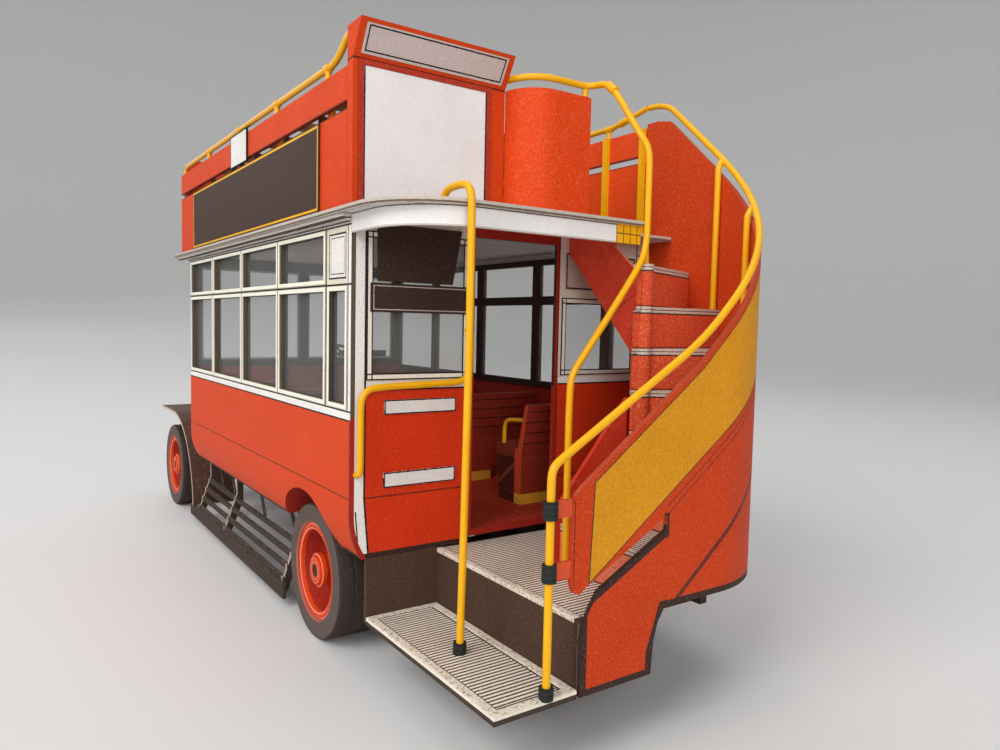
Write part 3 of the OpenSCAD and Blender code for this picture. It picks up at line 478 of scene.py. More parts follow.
rings = [frame_ring((1.45, HALF_W + 0.01, SILL - 0.75), (9.95, HALF_W + 0.2, BAR + 0.6), 0.72, 1)]
for i in range(4):
    x0 = FIRST_POST + i * PITCH_X + 0.3
    x1 = min(x0 + PITCH_X - 0.6, LENGTH - 1.3)
    rings.append(frame_ring((x0, HALF_W + 0.01, SILL - 0.75), (x1, HALF_W + 0.2, BAR + 0.6), 0.72, 1))
    rings.append(frame_ring((x0, HALF_W + 0.01, BAR + 1.2), (x1, HALF_W + 0.2, LIGHT_TOP + 0.7), 0.72, 1))
both_sides(joined(rings), "window_frames", frame_card)

# The lining's own frames and bars stand inside the glass.
lining_card = Paint("lining_card", LINING, rough=0.6).finish(grain=0.25, flecks=0)
bars = [bar((0.9, INNER_Y - 0.75, low), (LENGTH - 0.9, INNER_Y - 0.28, high))
        for low, high in ((BAR - 0.2, BAR + 2.0), (SILL - 1.6, SILL), (LIGHT_TOP, LIGHT_TOP + 1.4))]
post = bar((FIRST_POST - 1.2, INNER_Y - 0.8, SILL - 0.5), (FIRST_POST + 1.2, INNER_Y - 0.29, LIGHT_TOP + 0.6))
bars += [post] + [copied(post, dx=PITCH_X * i) for i in (1, 2, 3)]
both_sides(joined(bars), "inner_frames", lining_card)


# ---- Bulkheads -------------------------------------------------------------------------------
# The rear bulkhead is one printed card round the doorway, with the white corner strip of the
# body side lapped onto it. Its window frames are glued on like the sides'.
DOOR, JAMB = 9.5, 1.8
WINDOW_EDGE = HALF_W - 3
WINDOW_LOW = 52.6

p = Paint("rear_bulkhead_card", (0.62, 0.036, 0.006))
back = p.nx < -0.5
p.coat(p.z > 50.6, WHITE)
p.coat(p.z > 77.2, (0.70, 0.60, 0.55))
p.coat(p.line(p.z, 50.55, 0.3) | p.line(p.z, 77.3, 0.25) | p.line(p.z, 52.1, 0.25) & (abs(p.y) > DOOR), BLACK)
near = abs(p.y)
p.coat((near > DOOR + 1) & (near < 31.2) & (p.z > 51.9) & (p.z < 77.4) & (near > 10.2), CREAM)
p.coat((p.line(near, 10.25) | p.line(near, 31.15)) & (p.z > 50.5), BLACK)
strip_edge = 31.1 - ((32 - p.z) | 0) * 0.085
p.coat((near > strip_edge) & (p.y > 0), WHITE)
strip_lines = p.line(near, strip_edge, 0.35) | p.line(near, strip_edge + 1.75, 0.25) & (p.z < 30)
p.coat(strip_lines & (p.y > 0), BLACK)
p.coat(p.line(p.z, WAIST) & (near < 31), (0.20, 0.02, 0.012))
p.coat(p.z < 22.5, BROWN)
p.coat(near < DOOR + 0.8, DARK_RED)
p.coat(p.line(near, DOOR + 0.8, 0.2) & (p.z > 23), (0.10, 0.01, 0.01))
p.coat(1 - back, LINING)
p.coat((1 - back) & (p.z < 50), DARK_RED)
p.finish().on("rear_bulkhead")

p = Paint("front_bulkhead_card", RED)
p.coat(p.z > BELT, WHITE)
p.coat((abs(p.y) < WINDOW_EDGE + 1.1) & (p.z > 48.8) & (p.z < 78), CREAM)
for middle, width in ((BELT - 0.05, 0.3), (48.8, 0.25), (78.1, 0.25)):
    p.coat(p.line(p.z, middle, width), BLACK)
p.coat((p.line(abs(p.y), WINDOW_EDGE + 1.1, 0.25) | p.line(p.y, 0, 0.3)) & (p.z > 48.8) & (p.z < 78), BLACK)
p.coat(p.line(p.z, WAIST), (0.22, 0.02, 0.012))
p.coat(p.nx < 0.3, LINING)
p.coat((p.nx < 0.3) & (p.z < 48), DARK_RED)
p.finish().on("front_bulkhead")

ring_low, ring_in, ring_out = WINDOW_LOW - 0.35, DOOR + JAMB - 0.35, WINDOW_EDGE + 0.25
near_top, far_top = LIGHT_TOP + 0.1, BAR + 0.3
near_ring = frame_ring((-0.2, ring_in, ring_low), (-0.01, ring_out, near_top), 1.15, 0)
far_ring = frame_ring((-0.2, -ring_out, ring_low), (-0.01, -ring_in, far_top), 1.15, 0)
rear_frames = joined([near_ring, far_ring])
p = rear_frame_card = Paint("rear_frame_card", (0.80, 0.75, 0.66), rough=0.6, wobble=0.06)
ring_top = (p.y > 0) * near_top + (p.y < 0) * far_top
near = abs(p.y)
for inset in (0.11, 1.04):
    upright = p.line(near, ring_in + inset, 0.24) | p.line(near, ring_out - inset, 0.24)
    flat = p.line(p.z, ring_low + inset, 0.24) | p.line(p.z, ring_top - inset, 0.24)
    p.coat((upright | flat) & (p.x < 5), BLACK)
p.coat(abs(p.nx) < 0.6, (0.07, 0.05, 0.035)).finish(grain=0.2, flecks=0)
own(rear_frames, "rear_window_frames", rear_frame_card)

front_rings = []
for y0, y1 in ((1.0, WINDOW_EDGE + 0.4), (-WINDOW_EDGE - 0.4, -1.0)):
    front_rings.append(frame_ring((LENGTH + 0.01, y0, SILL + 1.6), (LENGTH + 0.2, y1, LIGHT_TOP), 1.0, 0))
own(joined(front_rings), "front_window_frames", rear_frame_card)

# A blank panel with a black border closes the top light by the stairs. Its white card is painted a dull
# pinkish brown: painted shade, the look of the white panel in shadow.
blank = bar((-0.22, -WINDOW_EDGE + 0.1, BAR + 1.9), (-0.01, -DOOR - JAMB - 0.3, LIGHT_TOP - 0.5), 0.05)
p = shaded_blank_card = Paint("blank_light_shaded_card", (0.50, 0.37, 0.32))
p.coat(p.outline(p.y, p.z, -WINDOW_EDGE + 0.3, BAR + 2.1, -DOOR - JAMB - 0.5, LIGHT_TOP - 0.7), BLACK)
p.finish()
own(blank, "blank_top_light", shaded_blank_card)


# ---- Glass -----------------------------------------------------------------------------------
# The panes are pieces of clear film, slightly grey and not quite flat. They are glued inside the
# card, behind every window.
film = bpy.data.materials.new("clear_film")
film.use_nodes = True
film_shader = film.node_tree.nodes["Principled BSDF"]
film_shader.inputs["Base Color"].default_value = (0.34, 0.37, 0.36, 1)
film_shader.inputs["Roughness"].default_value = 0.06
film_shader.inputs["Alpha"].default_value = 0.14
film_shader.inputs["Specular IOR Level"].default_value = 0.6
ripple = film.node_tree.nodes.new("ShaderNodeTexNoise")
ripple.inputs["Scale"].default_value = 40
ripple_at = film.node_tree.nodes.new("ShaderNodeTexCoord")
film.node_tree.links.new(ripple_at.outputs["Object"], ripple.inputs["Vector"])
ripple_bump = film.node_tree.nodes.new("ShaderNodeBump")
ripple_bump.inputs["Strength"].default_value = 0.15
ripple_bump.inputs["Distance"].default_value = 0.4 * MM
film.node_tree.links.new(ripple.outputs[0], ripple_bump.inputs["Height"])
film.node_tree.links.new(ripple_bump.outputs["Normal"], film_shader.inputs["Normal"])
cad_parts["saloon_glazing"].data.materials.clear()
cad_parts["saloon_glazing"].data.materials.append(film)


# ---- Saloon floor, wheel boxes and seats -----------------------------------------------------
# Red planks run the length of the saloon. Each seat is a folded box with a red end, slatted back
# and cushion, an ochre foot along its base, and an arm rail of bent wire.
YELLOW = (0.82, 0.40, 0.003)
OCHRE = (0.72, 0.36, 0.03)
FLOOR_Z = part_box("saloon_floor")[1].z / MM

p = Paint("floor_card", (0.40, 0.035, 0.016))
p.coat((p.y % 2.6 < 0.22) & (p.nz > 0.5), (0.08, 0.008, 0.006))
p.coat(p.nz < -0.5, BROWN)
p.finish(grain=0.22).on("saloon_floor")

p = Paint("wheel_box_card", DARK_RED)
p.coat((abs(p.ny) > 0.9) & (abs(p.y) > HALF_W - 1.5), RED).finish().on("wheel_boxes")

p = Paint("seat_card", (0.30, 0.030, 0.016))
end = abs(p.ny) > 0.7
p.coat((p.x % 2.17 < 0.24) & (p.nz > 0.7), (0.05, 0.008, 0.006))
p.coat((p.z % 2.3 < 0.24) & (abs(p.nx) > 0.6) & (p.z > FLOOR_Z + 12), (0.05, 0.008, 0.006))
p.coat(end, (0.62, 0.075, 0.022))
along_seat = (p.x - 9) % PITCH_X
in_front = end & (along_seat > 4.4)
p.coat(in_front & (p.z < FLOOR_Z + 13.2), (0.20, 0.028, 0.014))
# Below the cushion, ahead of the back board, the end is painted near-black: painted shade standing for the
# open, shadowed space under the seat, with the bracket drawn over it.
p.coat(in_front & (p.z < FLOOR_Z + 9.8), (0.075, 0.012, 0.008))
brace = p.line(p.z + along_seat * 0.8, FLOOR_Z + 12, 1.0)
p.coat(in_front & brace & (p.z < FLOOR_Z + 9), (0.22, 0.055, 0.02))
p.coat((p.z < FLOOR_Z + 2.3) & (p.nz < 0.5) & (1 - in_front), OCHRE)
p.coat(p.line(p.z, FLOOR_Z + 2.35, 0.2) & (p.nz < 0.5), (0.18, 0.03, 0.01))
p.finish().on("saloon_seats")

gloss = {"Coat_Weight": 0.12, "Coat_Roughness": 0.2, "Specular_IOR_Level": 0.25}
p = enamel_paint = Paint("yellow_enamel", YELLOW, rough=0.36, wobble=0, **gloss)
p.coat((p.noise(0.5, 2) > 0.66) * 0.2, (0.66, 0.30, 0.003))
p.coat((p.noise(2.2, 3) > 0.78) * 0.3, (0.44, 0.20, 0.01))
p.finish(grain=0.05, flecks=0, relief=0.12)


def wire(points, thick=1.2):
    """Stiff wire bent along a route: a curve through its points, made a mesh."""
    clear()
    bpy.ops.curve.primitive_nurbs_path_add()
    made = bpy.context.object
    splines = made.data.splines
    splines.clear()
    route = splines.new("NURBS")
    route.points.add(len(points) - 1)
    for point, spot in zip(route.points, points):
        point.co = (*place(*spot), 1)
    route.order_u = 3
    route.use_endpoint_u = True
    route.resolution_u = 6
    made.data.bevel_depth = thick / 2 * MM
    made.data.bevel_resolution = 3
    made.data.use_fill_caps = True
    bpy.ops.object.convert(target="MESH")
    bpy.ops.object.mode_set(mode="EDIT")
    bpy.ops.mesh.select_all(action="SELECT")
    bpy.ops.mesh.remove_doubles(threshold=0.005 * MM)
    bpy.ops.mesh.normals_make_consistent(inside=False)
    bpy.ops.object.mode_set(mode="OBJECT")
    bpy.ops.object.shade_smooth_by_angle(angle=math.radians(40))
    return bpy.context.object


SEAT_TOP = FLOOR_Z + 13
arm = wire([(x, 10.9, SEAT_TOP + z) for x, z in
            ((10.9, 5), (14, 4.9), (16.6, 4.6), (18, 4.2), (18.7, 2.8), (18.7, 1), (18.7, -0.7))], 0.9)
arms = with_other_hand(joined([arm] + [copied(arm, dx=PITCH_X * i) for i in (1, 2, 3)]))
own(arms, "seat_arm_rails", enamel_paint, "seat_handles")


# ---- Upper deck floor, its lip and the rear canopy -------------------------------------------
# The deck is one board with printed planks. Its lip stands out past the sides over two small
# mouldings, and a white fascia hangs round its curved rear edge.
DECK_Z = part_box("upper_deck_floor")[1].z / MM
p = Paint("deck_card", (0.16, 0.11, 0.085))
p.coat((p.y % 3.1 < 0.25) & (p.nz > 0.5), (0.03, 0.02, 0.015))
rim = (abs(p.y) > HALF_W - 0.4) | (p.x < -0.4) | (p.x > LENGTH + 10)
p.coat(rim & (p.nz > 0.5), (0.50, 0.46, 0.41))
lip_lines = p.line(abs(p.y), HALF_W + 1.9, 0.2) | p.line(abs(p.y), HALF_W + 0.6, 0.16)
p.coat(lip_lines & (p.nz > 0.5), (0.12, 0.09, 0.075))
p.coat((p.nz > 0.5) & (p.x < -0.4) & (p.y % 1.7 < 0.18), (0.20, 0.16, 0.13))
p.coat(p.nz < -0.5, (0.62, 0.58, 0.54))
p.coat((p.nz < -0.5) & ((p.x % 8.6 < 0.3) | p.line(abs(p.y), HALF_W + 1.6, 0.2)), (0.24, 0.19, 0.16))
p.coat(abs(p.nz) < 0.5, (0.50, 0.44, 0.38))
p.coat((abs(p.nz) < 0.5) & (p.z < DECK_Z - 0.5), (0.13, 0.09, 0.07))
p.finish(grain=0.2).on("upper_deck_floor")

upper_moulding = bar((0.1, HALF_W + 0.02, DECK_Z - 1.55), (LENGTH + 10, HALF_W + 1.7, DECK_Z - 0.82), 0.12)
lower_moulding = bar((0.1, HALF_W + 0.02, DECK_Z - 2.2), (LENGTH - 0.1, HALF_W + 0.75, DECK_Z - 1.56), 0.12)
mouldings = joined([upper_moulding, lower_moulding])
p = moulding_card = Paint("cornice_card", (0.60, 0.55, 0.50))
p.coat(p.line(p.z, DECK_Z - 1.55, 0.2) | p.line(p.z, DECK_Z - 2.15, 0.18), (0.10, 0.07, 0.06))
p.coat((p.noise(1.2, 3, (0.2, 1, 1)) > 0.62) * 0.5, (0.34, 0.29, 0.25)).finish(grain=0.2)
both_sides(mouldings, "cornice", moulding_card)

p = Paint("fascia_card", (0.78, 0.76, 0.75))
p.coat(p.z < DECK_Z - 3.75, (0.55, 0.50, 0.46))
p.coat(p.line(p.z, DECK_Z - 0.95, 0.2), (0.14, 0.10, 0.08))
checked = (p.y < -6.2) & (p.nx < 0.3)
p.coat(checked, YELLOW)
p.coat(checked & ((p.y % 1.6 < 0.2) | p.line(p.z, DECK_Z - 2.4, 0.2)), (0.16, 0.09, 0.02))
p.finish(grain=0.1, flecks=0).on("rear_fascia")


# ---- Upper deck sides, boards and front ------------------------------------------------------
# The deck's sides are red card with an open slot under the strip. A dark board with a yellow
# border and a small white plate are glued on; both are blank.
DECK_PANEL_Z, STRIP_LOW, STRIP_HIGH = 97.2, 98.5, 104.1
p = Paint("deck_side_card", RED)
inner = (p.ny * p.y < -8) | (abs(p.y) < INNER_Y - 0.05)
p.coat(inner, (0.72, 0.066, 0.008))
p.coat(abs(p.ny) < 0.3, (0.40, 0.05, 0.02))
for height, width in ((DECK_Z + 0.3, 0.4), (STRIP_LOW + 0.12, 0.25), (DECK_PANEL_Z - 0.1, 0.2)):
    p.coat(p.line(p.z, height, width), (0.16, 0.02, 0.012))
p.coat((abs(p.y) < INNER_Y - 0.06) & (p.nx * p.x > -40), YELLOW)
p.finish().on("deck_side_nearside", "deck_side_offside")

p = Paint("side_board_card", (0.050, 0.026, 0.018), rough=0.5)
BOARD_END = LENGTH - 6
p.coat(p.outline(p.x, p.z, 14.25, DECK_Z + 1.1, BOARD_END - 0.25, DECK_PANEL_Z - 0.45, 0.42), YELLOW)
p.coat(p.z > DECK_PANEL_Z + 0.1, (0.74, 0.72, 0.69))
plate = p.box(p.x, p.z, 58.1, DECK_PANEL_Z + 0.7, 70.3, STRIP_HIGH + 0.6)
p.coat((p.z > DECK_PANEL_Z + 0.1) & (1 - plate), BLACK)
p.finish(flecks=0.12).on("side_boards")

p = Paint("deck_front_card", RED)
p.coat(p.nx < -0.5, (0.60, 0.055, 0.016))
board_face = p.nx * p.box(p.y, p.z, -22, DECK_Z + 12, 22, 104.9) > 0.5
p.coat(board_face, (0.76, 0.74, 0.71))
p.coat(board_face & p.outline(p.y, p.z, -21.6, DECK_Z + 12.4, 21.6, 104.5, 0.45), BLACK)
p.coat(p.line(p.z, DECK_Z + 0.4, 0.5), (0.16, 0.02, 0.012))
p.finish().on("deck_front_panel")

p = Paint("bench_card", (0.24, 0.13, 0.065), rough=0.6)
p.coat((p.noise(0.9, 4, (1.0, 0.12, 1.0)) > 0.55) * 0.5, (0.12, 0.055, 0.028))
p.coat((abs(p.ny) > 0.7) & (p.z < DECK_Z + 30), (0.10, 0.045, 0.028)).finish(grain=0.25).on("deck_seats")


# ---- Destination box and the curved panel ----------------------------------------------------
# A red box with a framed white board, blank, and a header that leans back over the platform.
# The panel beside it is one card rolled round to the head of the stairs.
BOX_Y0, BOX_TOP, HEADER_TOP, LEAN = 3.8, 105, 110.4, 3.3
p = Paint("destination_box_card", RED)
p.coat(p.line(p.z, 104.9, 0.35), (0.14, 0.02, 0.012))
p.coat(p.line(p.z, DECK_Z + 0.3, 0.4), (0.20, 0.02, 0.012))
p.coat(p.nx > 0.6, (0.34, 0.045, 0.02))
p.finish().on("destination_box")

p = Paint("curved_panel_card", (0.68, 0.055, 0.006))
p.coat((p.noise(2.6, 2) > 0.6) * 0.25, (0.86, 0.20, 0.07))
p.coat(p.nz > 0.7, (0.66, 0.46, 0.30))
p.finish().on("deck_rear_panel")

white_board = bar((-0.16, 7.9, DECK_Z + 1.2), (-0.005, 31.8, 104.2), 0.03)
p = white_card = Paint("white_board_card", (0.80, 0.76, 0.76))
p.coat(p.outline(p.y, p.z, 7.9, DECK_Z + 1.2, 31.8, 104.2, 0.22), BLACK)
p.coat((p.noise(1.6, 3) > 0.64) * 0.2, (0.55, 0.47, 0.45)).finish(grain=0.08, flecks=0)
own(white_board, "blank_destination_board", white_card)

board_frame = frame_ring((-0.3, 6.9, DECK_Z + 0.35), (-0.006, 32.8, 104.85), 0.95, 0)
p = board_frame_card = Paint("board_frame_card", (0.40, 0.035, 0.016))
p.coat(abs(p.nx) < 0.5, (0.12, 0.012, 0.008)).finish()
own(board_frame, "destination_board_frame", board_frame_card)

# The header's board lies on the leaning face.
lean = math.atan2(LEAN, HEADER_TOP - BOX_TOP)
rise = math.hypot(LEAN, HEADER_TOP - BOX_TOP)


def leaning(piece):
    """Turns a flat piece from upright onto the header's leaning face, about its lower edge."""
    clear()
    piece.select_set(True)
    bpy.context.view_layer.objects.active = piece
    hinge = Matrix.Translation(place(0, 0, BOX_TOP))
    piece.matrix_world = hinge @ Matrix.Rotation(-lean, 4, "Y") @ hinge.inverted() @ piece.matrix_world
    bpy.ops.object.transform_apply(location=True, rotation=True, scale=True)
    return piece


header_low = (-0.14, BOX_Y0 + 1.2, BOX_TOP + 0.75)
header_high = (-0.008, HALF_W - 1.2, BOX_TOP + rise - 0.7)
header_board = leaning(bar(header_low, header_high, 0.03))
HEADER_PALE = (0.55, 0.46, 0.44)
p = header_card = Paint("header_board_card", HEADER_PALE)
step = (HEADER_TOP - BOX_TOP) / rise
for side, under, over, ink in ((1.9, 1.35, 1.3, BLACK), (1.65, 1.1, 1.05, HEADER_PALE)):
    edges = (BOX_Y0 + side, BOX_TOP + under * step, HALF_W - side, BOX_TOP + (rise - over) * step)
    p.coat(1 - p.box(p.y, p.z, *edges), ink)
p.finish(flecks=0)
own(header_board, "blank_header_board", header_card)


# ---- Platform, entry step and valance --------------------------------------------------------
# Platform and step are printed with cream ribs and dark grooves inside a worn cream border. The
# riser and the valance under the body are speckled dark brown card.
STEP_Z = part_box("entry_step")[1].z / MM
PLATFORM_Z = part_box("platform")[1].z / MM
TAIL = -39.5
EDGE_Y = 16.6
STEP_OUT = 30.6
RIBS = 0.85
GROOVE = (0.070, 0.043, 0.032)
RIB = (0.80, 0.72, 0.61)
RISER_BROWN = (0.072, 0.040, 0.028)


def ribbed(paint, across, mask):
    """Ribs along a direction, worn through here and there."""
    groove = (across % RIBS < 0.36) & mask
    paint.coat(groove, GROOVE)
    paint.coat(groove & (paint.noise(1.1, 3) > 0.68), (0.30, 0.23, 0.17))
    return across % RIBS > 0.40


p = Paint("platform_card", RIB, rough=0.65, wobble=0.06)
top = p.nz > 0.7
relief = ribbed(p, p.x, top & (p.y < EDGE_Y - 1.3))
p.coat(p.line(p.y, EDGE_Y - 1.25, 0.25) & top, BROWN)
p.coat(1 - top, RISER_BROWN)
p.coat((1 - top) & (p.noise(3.2, 3) > 0.66), (0.20, 0.13, 0.10))
p.finish(grain=0.25, flecks=0, height=relief * 0.8).on("platform")

p = Paint("step_card", RIB, rough=0.65, wobble=0.06)
well_area = p.box(p.x, p.y, TAIL + 1.9, EDGE_Y + 1.9, -1.7, STEP_OUT - 1.7)
relief = ribbed(p, p.x, well_area & (p.nz > 0.7))
p.coat(p.outline(p.x, p.y, TAIL + 1.6, EDGE_Y + 1.6, -1.4, STEP_OUT - 1.4, 0.3) & (p.nz > 0.7), BROWN)
p.coat((p.z < STEP_Z - 0.45) & (p.nz < 0.5), (0.06, 0.042, 0.034))
p.finish(grain=0.25, flecks=0, height=relief * 0.8).on("entry_step")

p = border_card = Paint("step_border_card", (0.72, 0.65, 0.54), rough=0.7, wobble=0.3)
p.coat((p.noise(1.9, 4) > 0.58) * 0.6, (0.26, 0.18, 0.13))
p.coat((p.noise(4.0, 3) > 0.66) * 0.7, (0.12, 0.08, 0.06)).finish(grain=0.3, flecks=0)
border_low = (TAIL + 0.06, EDGE_Y + 0.12, STEP_Z + 0.005)
step_border = frame_ring(border_low, (-0.16, STEP_OUT - 0.05, STEP_Z + 0.17), 1.35, 2)
own(step_border, "step_border", border_card)
nosing = bar((TAIL + 0.95, EDGE_Y - 1.0, PLATFORM_Z + 0.005), (-0.15, EDGE_Y + 0.12, PLATFORM_Z + 0.16), 0.06)
lip = bar((TAIL + 1.0, EDGE_Y + 0.005, PLATFORM_Z - 0.62), (-0.15, EDGE_Y + 0.14, PLATFORM_Z + 0.1), 0.05)
own(joined([nosing, lip]), "platform_nosing", border_card)

p = Paint("valance_card", RISER_BROWN, rough=0.7)
p.coat(p.noise(3.2, 3) > 0.62, (0.11, 0.07, 0.055))
p.coat(p.noise(4.4, 2) > 0.70, (0.26, 0.17, 0.13)).finish(grain=0.3, flecks=0).on("platform_valance")


# ---- Stairs ----------------------------------------------------------------------------------
# Eight card steps wind up from the platform: ribbed treads with worn nosings, orange-red risers
# between dark printed lines, and a folded red stringer on the inner side.
RISE = (DECK_Z - PLATFORM_Z) / 8
NEWEL_X, NEWEL_Y = -21.2, -12.6
p = Paint("tread_card", RIB, rough=0.65, wobble=0.14)
top = p.nz > 0.6
winding = p.node("ShaderNodeMath", {"operation": "ARCTAN2"}, p.y - NEWEL_Y, p.x - NEWEL_X) * 12.5
straight = (p.z < PLATFORM_Z + 2.3 * RISE) & (p.y > -6.6)
relief = ribbed(p, p.y, top & straight) * straight + ribbed(p, winding, top & (1 - straight)) * (1 - straight)
riser = 1 - top
up_step = (p.z - PLATFORM_Z + 0.02) % RISE
p.coat(riser, (0.66, 0.075, 0.024))
p.coat(riser & (p.noise(3.4, 3) > 0.58), (0.76, 0.20, 0.09))
p.coat((riser & (p.z < PLATFORM_Z + 3 * RISE)) * 0.4, (0.85, 0.36, 0.20))
p.coat(riser & (up_step > RISE - 1.1), (0.60, 0.50, 0.41))
p.coat(riser & (p.line(up_step, RISE - 1.15, 0.28) | p.line(up_step, RISE - 0.5, 0.14)), (0.07, 0.04, 0.03))
p.coat(riser & (up_step < 0.3), (0.24, 0.035, 0.02))
p.coat(p.nz < -0.6, (0.55, 0.48, 0.40))
p.finish(grain=0.25, height=relief * 0.8).on("stair_treads")

p = Paint("stringer_card", (0.64, 0.050, 0.022))
p.coat((p.noise(0.5, 3) > 0.6) * 0.3, (0.74, 0.12, 0.05))
p.coat(p.line(p.z + p.x * 0.55, 57.6, 0.25) & (abs(p.ny) > 0.7), (0.36, 0.03, 0.015))
p.coat((abs(p.ny) < 0.5) & (abs(p.nx) < 0.75), (0.68, 0.22, 0.14)).finish().on("stair_inner_stringer")

# The outer panel is one card rolled round the corner. Its blank ochre board climbs with the
# stairs, with fine lines under it, a brown stripe, and black edging at the skirt and the slot.
TURN_R = 20.5
TURN_X, TURN_Y = TURN_R + TAIL, TURN_R - HALF_W
S_TURN = EDGE_Y - TURN_Y
S_SIDE = S_TURN + TURN_R * math.pi / 2
S_END = S_SIDE - TURN_X - 0.1
p = Paint("stair_panel_card", (0.53, 0.045, 0.005))
dx = (TURN_X - p.x) | 0
dy = (TURN_Y - p.y) | 0
around = p.node("ShaderNodeMath", {"operation": "ARCTAN2"}, dy, dx) * TURN_R
s = around + ((TURN_Y - p.y) & 0) + ((p.x - TURN_X) | 0) + S_TURN
outer = p.nx * dx + p.ny * dy < -8
top_edge = ((s & 24) * 0.72 + ((s - 24) | 0) * 0.93 + 40) & 105
low_edge = (s - 1.8) * 0.705 + 26.4
front_edge = (p.z - 26.4) * 0.045 + 1.8
board = (p.z < top_edge - 1.05) & (p.z > low_edge - 0.25) & (s > front_edge - 0.25) & outer
p.coat((p.noise(2.4, 2) > 0.6) * 0.2, (0.72, 0.13, 0.04))
p.coat(board, (0.10, 0.045, 0.02))
inner_board = (p.z < top_edge - 1.3) & (p.z > low_edge) & (s > front_edge) & outer
p.coat(inner_board, (0.64, 0.275, 0.008))
p.coat(inner_board & (p.noise(1.7, 3) > 0.56), (0.60, 0.24, 0.008))
climb = (s - 17) * 0.72 + 34.1
p.coat((p.line(p.z, climb, 0.24) | p.line(p.z, climb + 1.25, 0.24)) & (s > 17) & outer, (0.16, 0.03, 0.02))
p.coat(p.line(p.z, (s - 19.3) * 0.79 + 20.4, 1.0) & (s > 18.6) & (s < 70) & outer, (0.13, 0.025, 0.018))
slot_edge = s * 0.52 + 22.9
edging = ((s < 1.6) & (p.z < 23.4)) | (p.span(p.z, slot_edge - 1.0, slot_edge + 0.1) & (s < 17.4))
edging = edging | p.box(s, p.z, 16.4, 30.6, 17.5, 34.4)
leg_edge = ((p.z - 13.5) | 0) * 0.36 + 13.6
edging = edging | ((s > leg_edge - 0.3) & (s < 17.6) & (p.z < 20.9))
edging = edging | ((p.z < 11.0) & (s < 15)) | ((p.z < 20.8) & (s > 16.2))
rim = (abs(p.ny) > 0.6) & (s < 3.5) & (p.z < 24.6)
rim = rim | ((p.z < 32.5) & (s < 18) & (s > 2) & (abs(p.nx) < 0.5))
p.coat((edging & outer) | rim, (0.045, 0.022, 0.018))
p.coat(p.line(s, -1.2, 0.2) & p.span(p.z, 26, 38.5) & outer, (0.16, 0.02, 0.012))
p.coat((p.nz > 0.35) & (p.z > 32.5), (0.50, 0.08, 0.035))
p.coat(p.nz < -0.35, (0.05, 0.03, 0.022))
p.finish(grain=0.2).on("stair_outer_panel")


# ---- Rails, poles and their fittings ---------------------------------------------------------
# Every rail and pole is steel wire painted yellow, bent over a former and pushed into the card,
# with black tape for collars and small sleeves where wires meet.
def panel_point(s, inside):
    """A point of the outer panel's plan, at a distance inside its face."""
    if s < S_TURN:
        return TAIL + inside, EDGE_Y - s
    if s < S_SIDE:
        angle = math.pi + (s - S_TURN) / TURN_R
        return TURN_X + (TURN_R - inside) * math.cos(angle), TURN_Y + (TURN_R - inside) * math.sin(angle)
    return TURN_X + s - S_SIDE, inside - HALF_W


def rail_point(s):
    height = min(108.4, 46.3 + 0.59 * min(s, 24) + 0.92 * max(0, s - 24))
    return (*panel_point(s, 0.4), height)


def sleeve(centre, along, thick=1.75, half=1.0):
    """A short tube slipped over a wire."""
    centre, along = Vector(centre), Vector(along).normalized()
    return wire([centre - half * along, centre, centre + half * along], thick)


RAIL_Y = HALF_W - 0.65
RAIL_Z = 106.2
POSTS = [12 + i * (LENGTH + 10.5 - 15) / 4 for i in range(5)]


def deck_wire(route, thick=1.2):
    """Wire over the deck's side, bent along (ahead, up) points."""
    return wire([(x, RAIL_Y, z) for x, z in route], thick)


front = POSTS[4]
along_top = [(60, RAIL_Z), (112, RAIL_Z), (front - 2, RAIL_Z), (front - 0.6, RAIL_Z - 0.4)]
along_top += [(front, RAIL_Z - 1.4), (front, STRIP_HIGH + 0.02)]
near_start = [(2.25, 109.4), (4, 109.2), (5.6, 108), (7.4, 107), (9.6, RAIL_Z), (14, RAIL_Z)]
far_start = [(0.2, 108.4), (5, 107.4), (9, 106.6), (12, RAIL_Z)]
near_rail = [deck_wire(near_start + along_top)]
far_rail = [sleeve((7.0, RAIL_Y, 106.98), (4, 0, -0.8), 1.65, 1.3), deck_wire(far_start + along_top)]
for x in POSTS[:4]:
    post = deck_wire([(x, STRIP_HIGH + 0.02), (x, 105.3), (x, RAIL_Z)], 1.15)
    parts = [post, sleeve((x, RAIL_Y, RAIL_Z), (1, 0, 0), 1.6, 0.9)]
    near_rail += parts
    far_rail += [copied(part) for part in parts]
near_rail = joined(near_rail)
far_rail_built = joined(far_rail)
far_rail = other_hand(far_rail_built)
bpy.data.objects.remove(far_rail_built)
own(near_rail, "nearside_wire_rail", enamel_paint, "deck_rail_nearside")
own(far_rail, "offside_wire_rail", enamel_paint, "deck_rail_offside")

POLE_Y = 21.8
foot_x = TAIL + 0.4
start_z = 46.3 - 0.59 * 3.4
stair_rail = [(foot_x, POLE_Y, z) for z in (STEP_Z + 0.02, 30, start_z - 5, start_z - 2)]
stair_rail.append((foot_x, POLE_Y - 0.5, start_z - 0.9))
stair_rail += [rail_point(-3.4 + i * (S_TURN + 3.4) / 8) for i in range(9)]
stair_rail += [rail_point(S_TURN + i * (S_SIDE - S_TURN) / 12) for i in range(1, 13)]
stair_rail += [rail_point(S_SIDE + i * (S_END - S_SIDE - 0.1) / 4) for i in range(1, 5)]
parts = [wire(stair_rail)]
for s_post, step_number in ((S_SIDE - 1, 6), (S_SIDE - 12, 5)):
    x, y = panel_point(s_post, 1.5)
    edge = min(105, 57.28 + 0.93 * (s_post - 24)) + 0.9
    base = PLATFORM_Z + step_number * RISE + 0.02
    post = [(x, y, z) for z in (base, (base + edge) / 2, edge - 0.5, edge)]
    parts.append(wire([*post, rail_point(s_post)]))
own(joined(parts), "stair_outer_wire", enamel_paint, "stair_outer_rail")

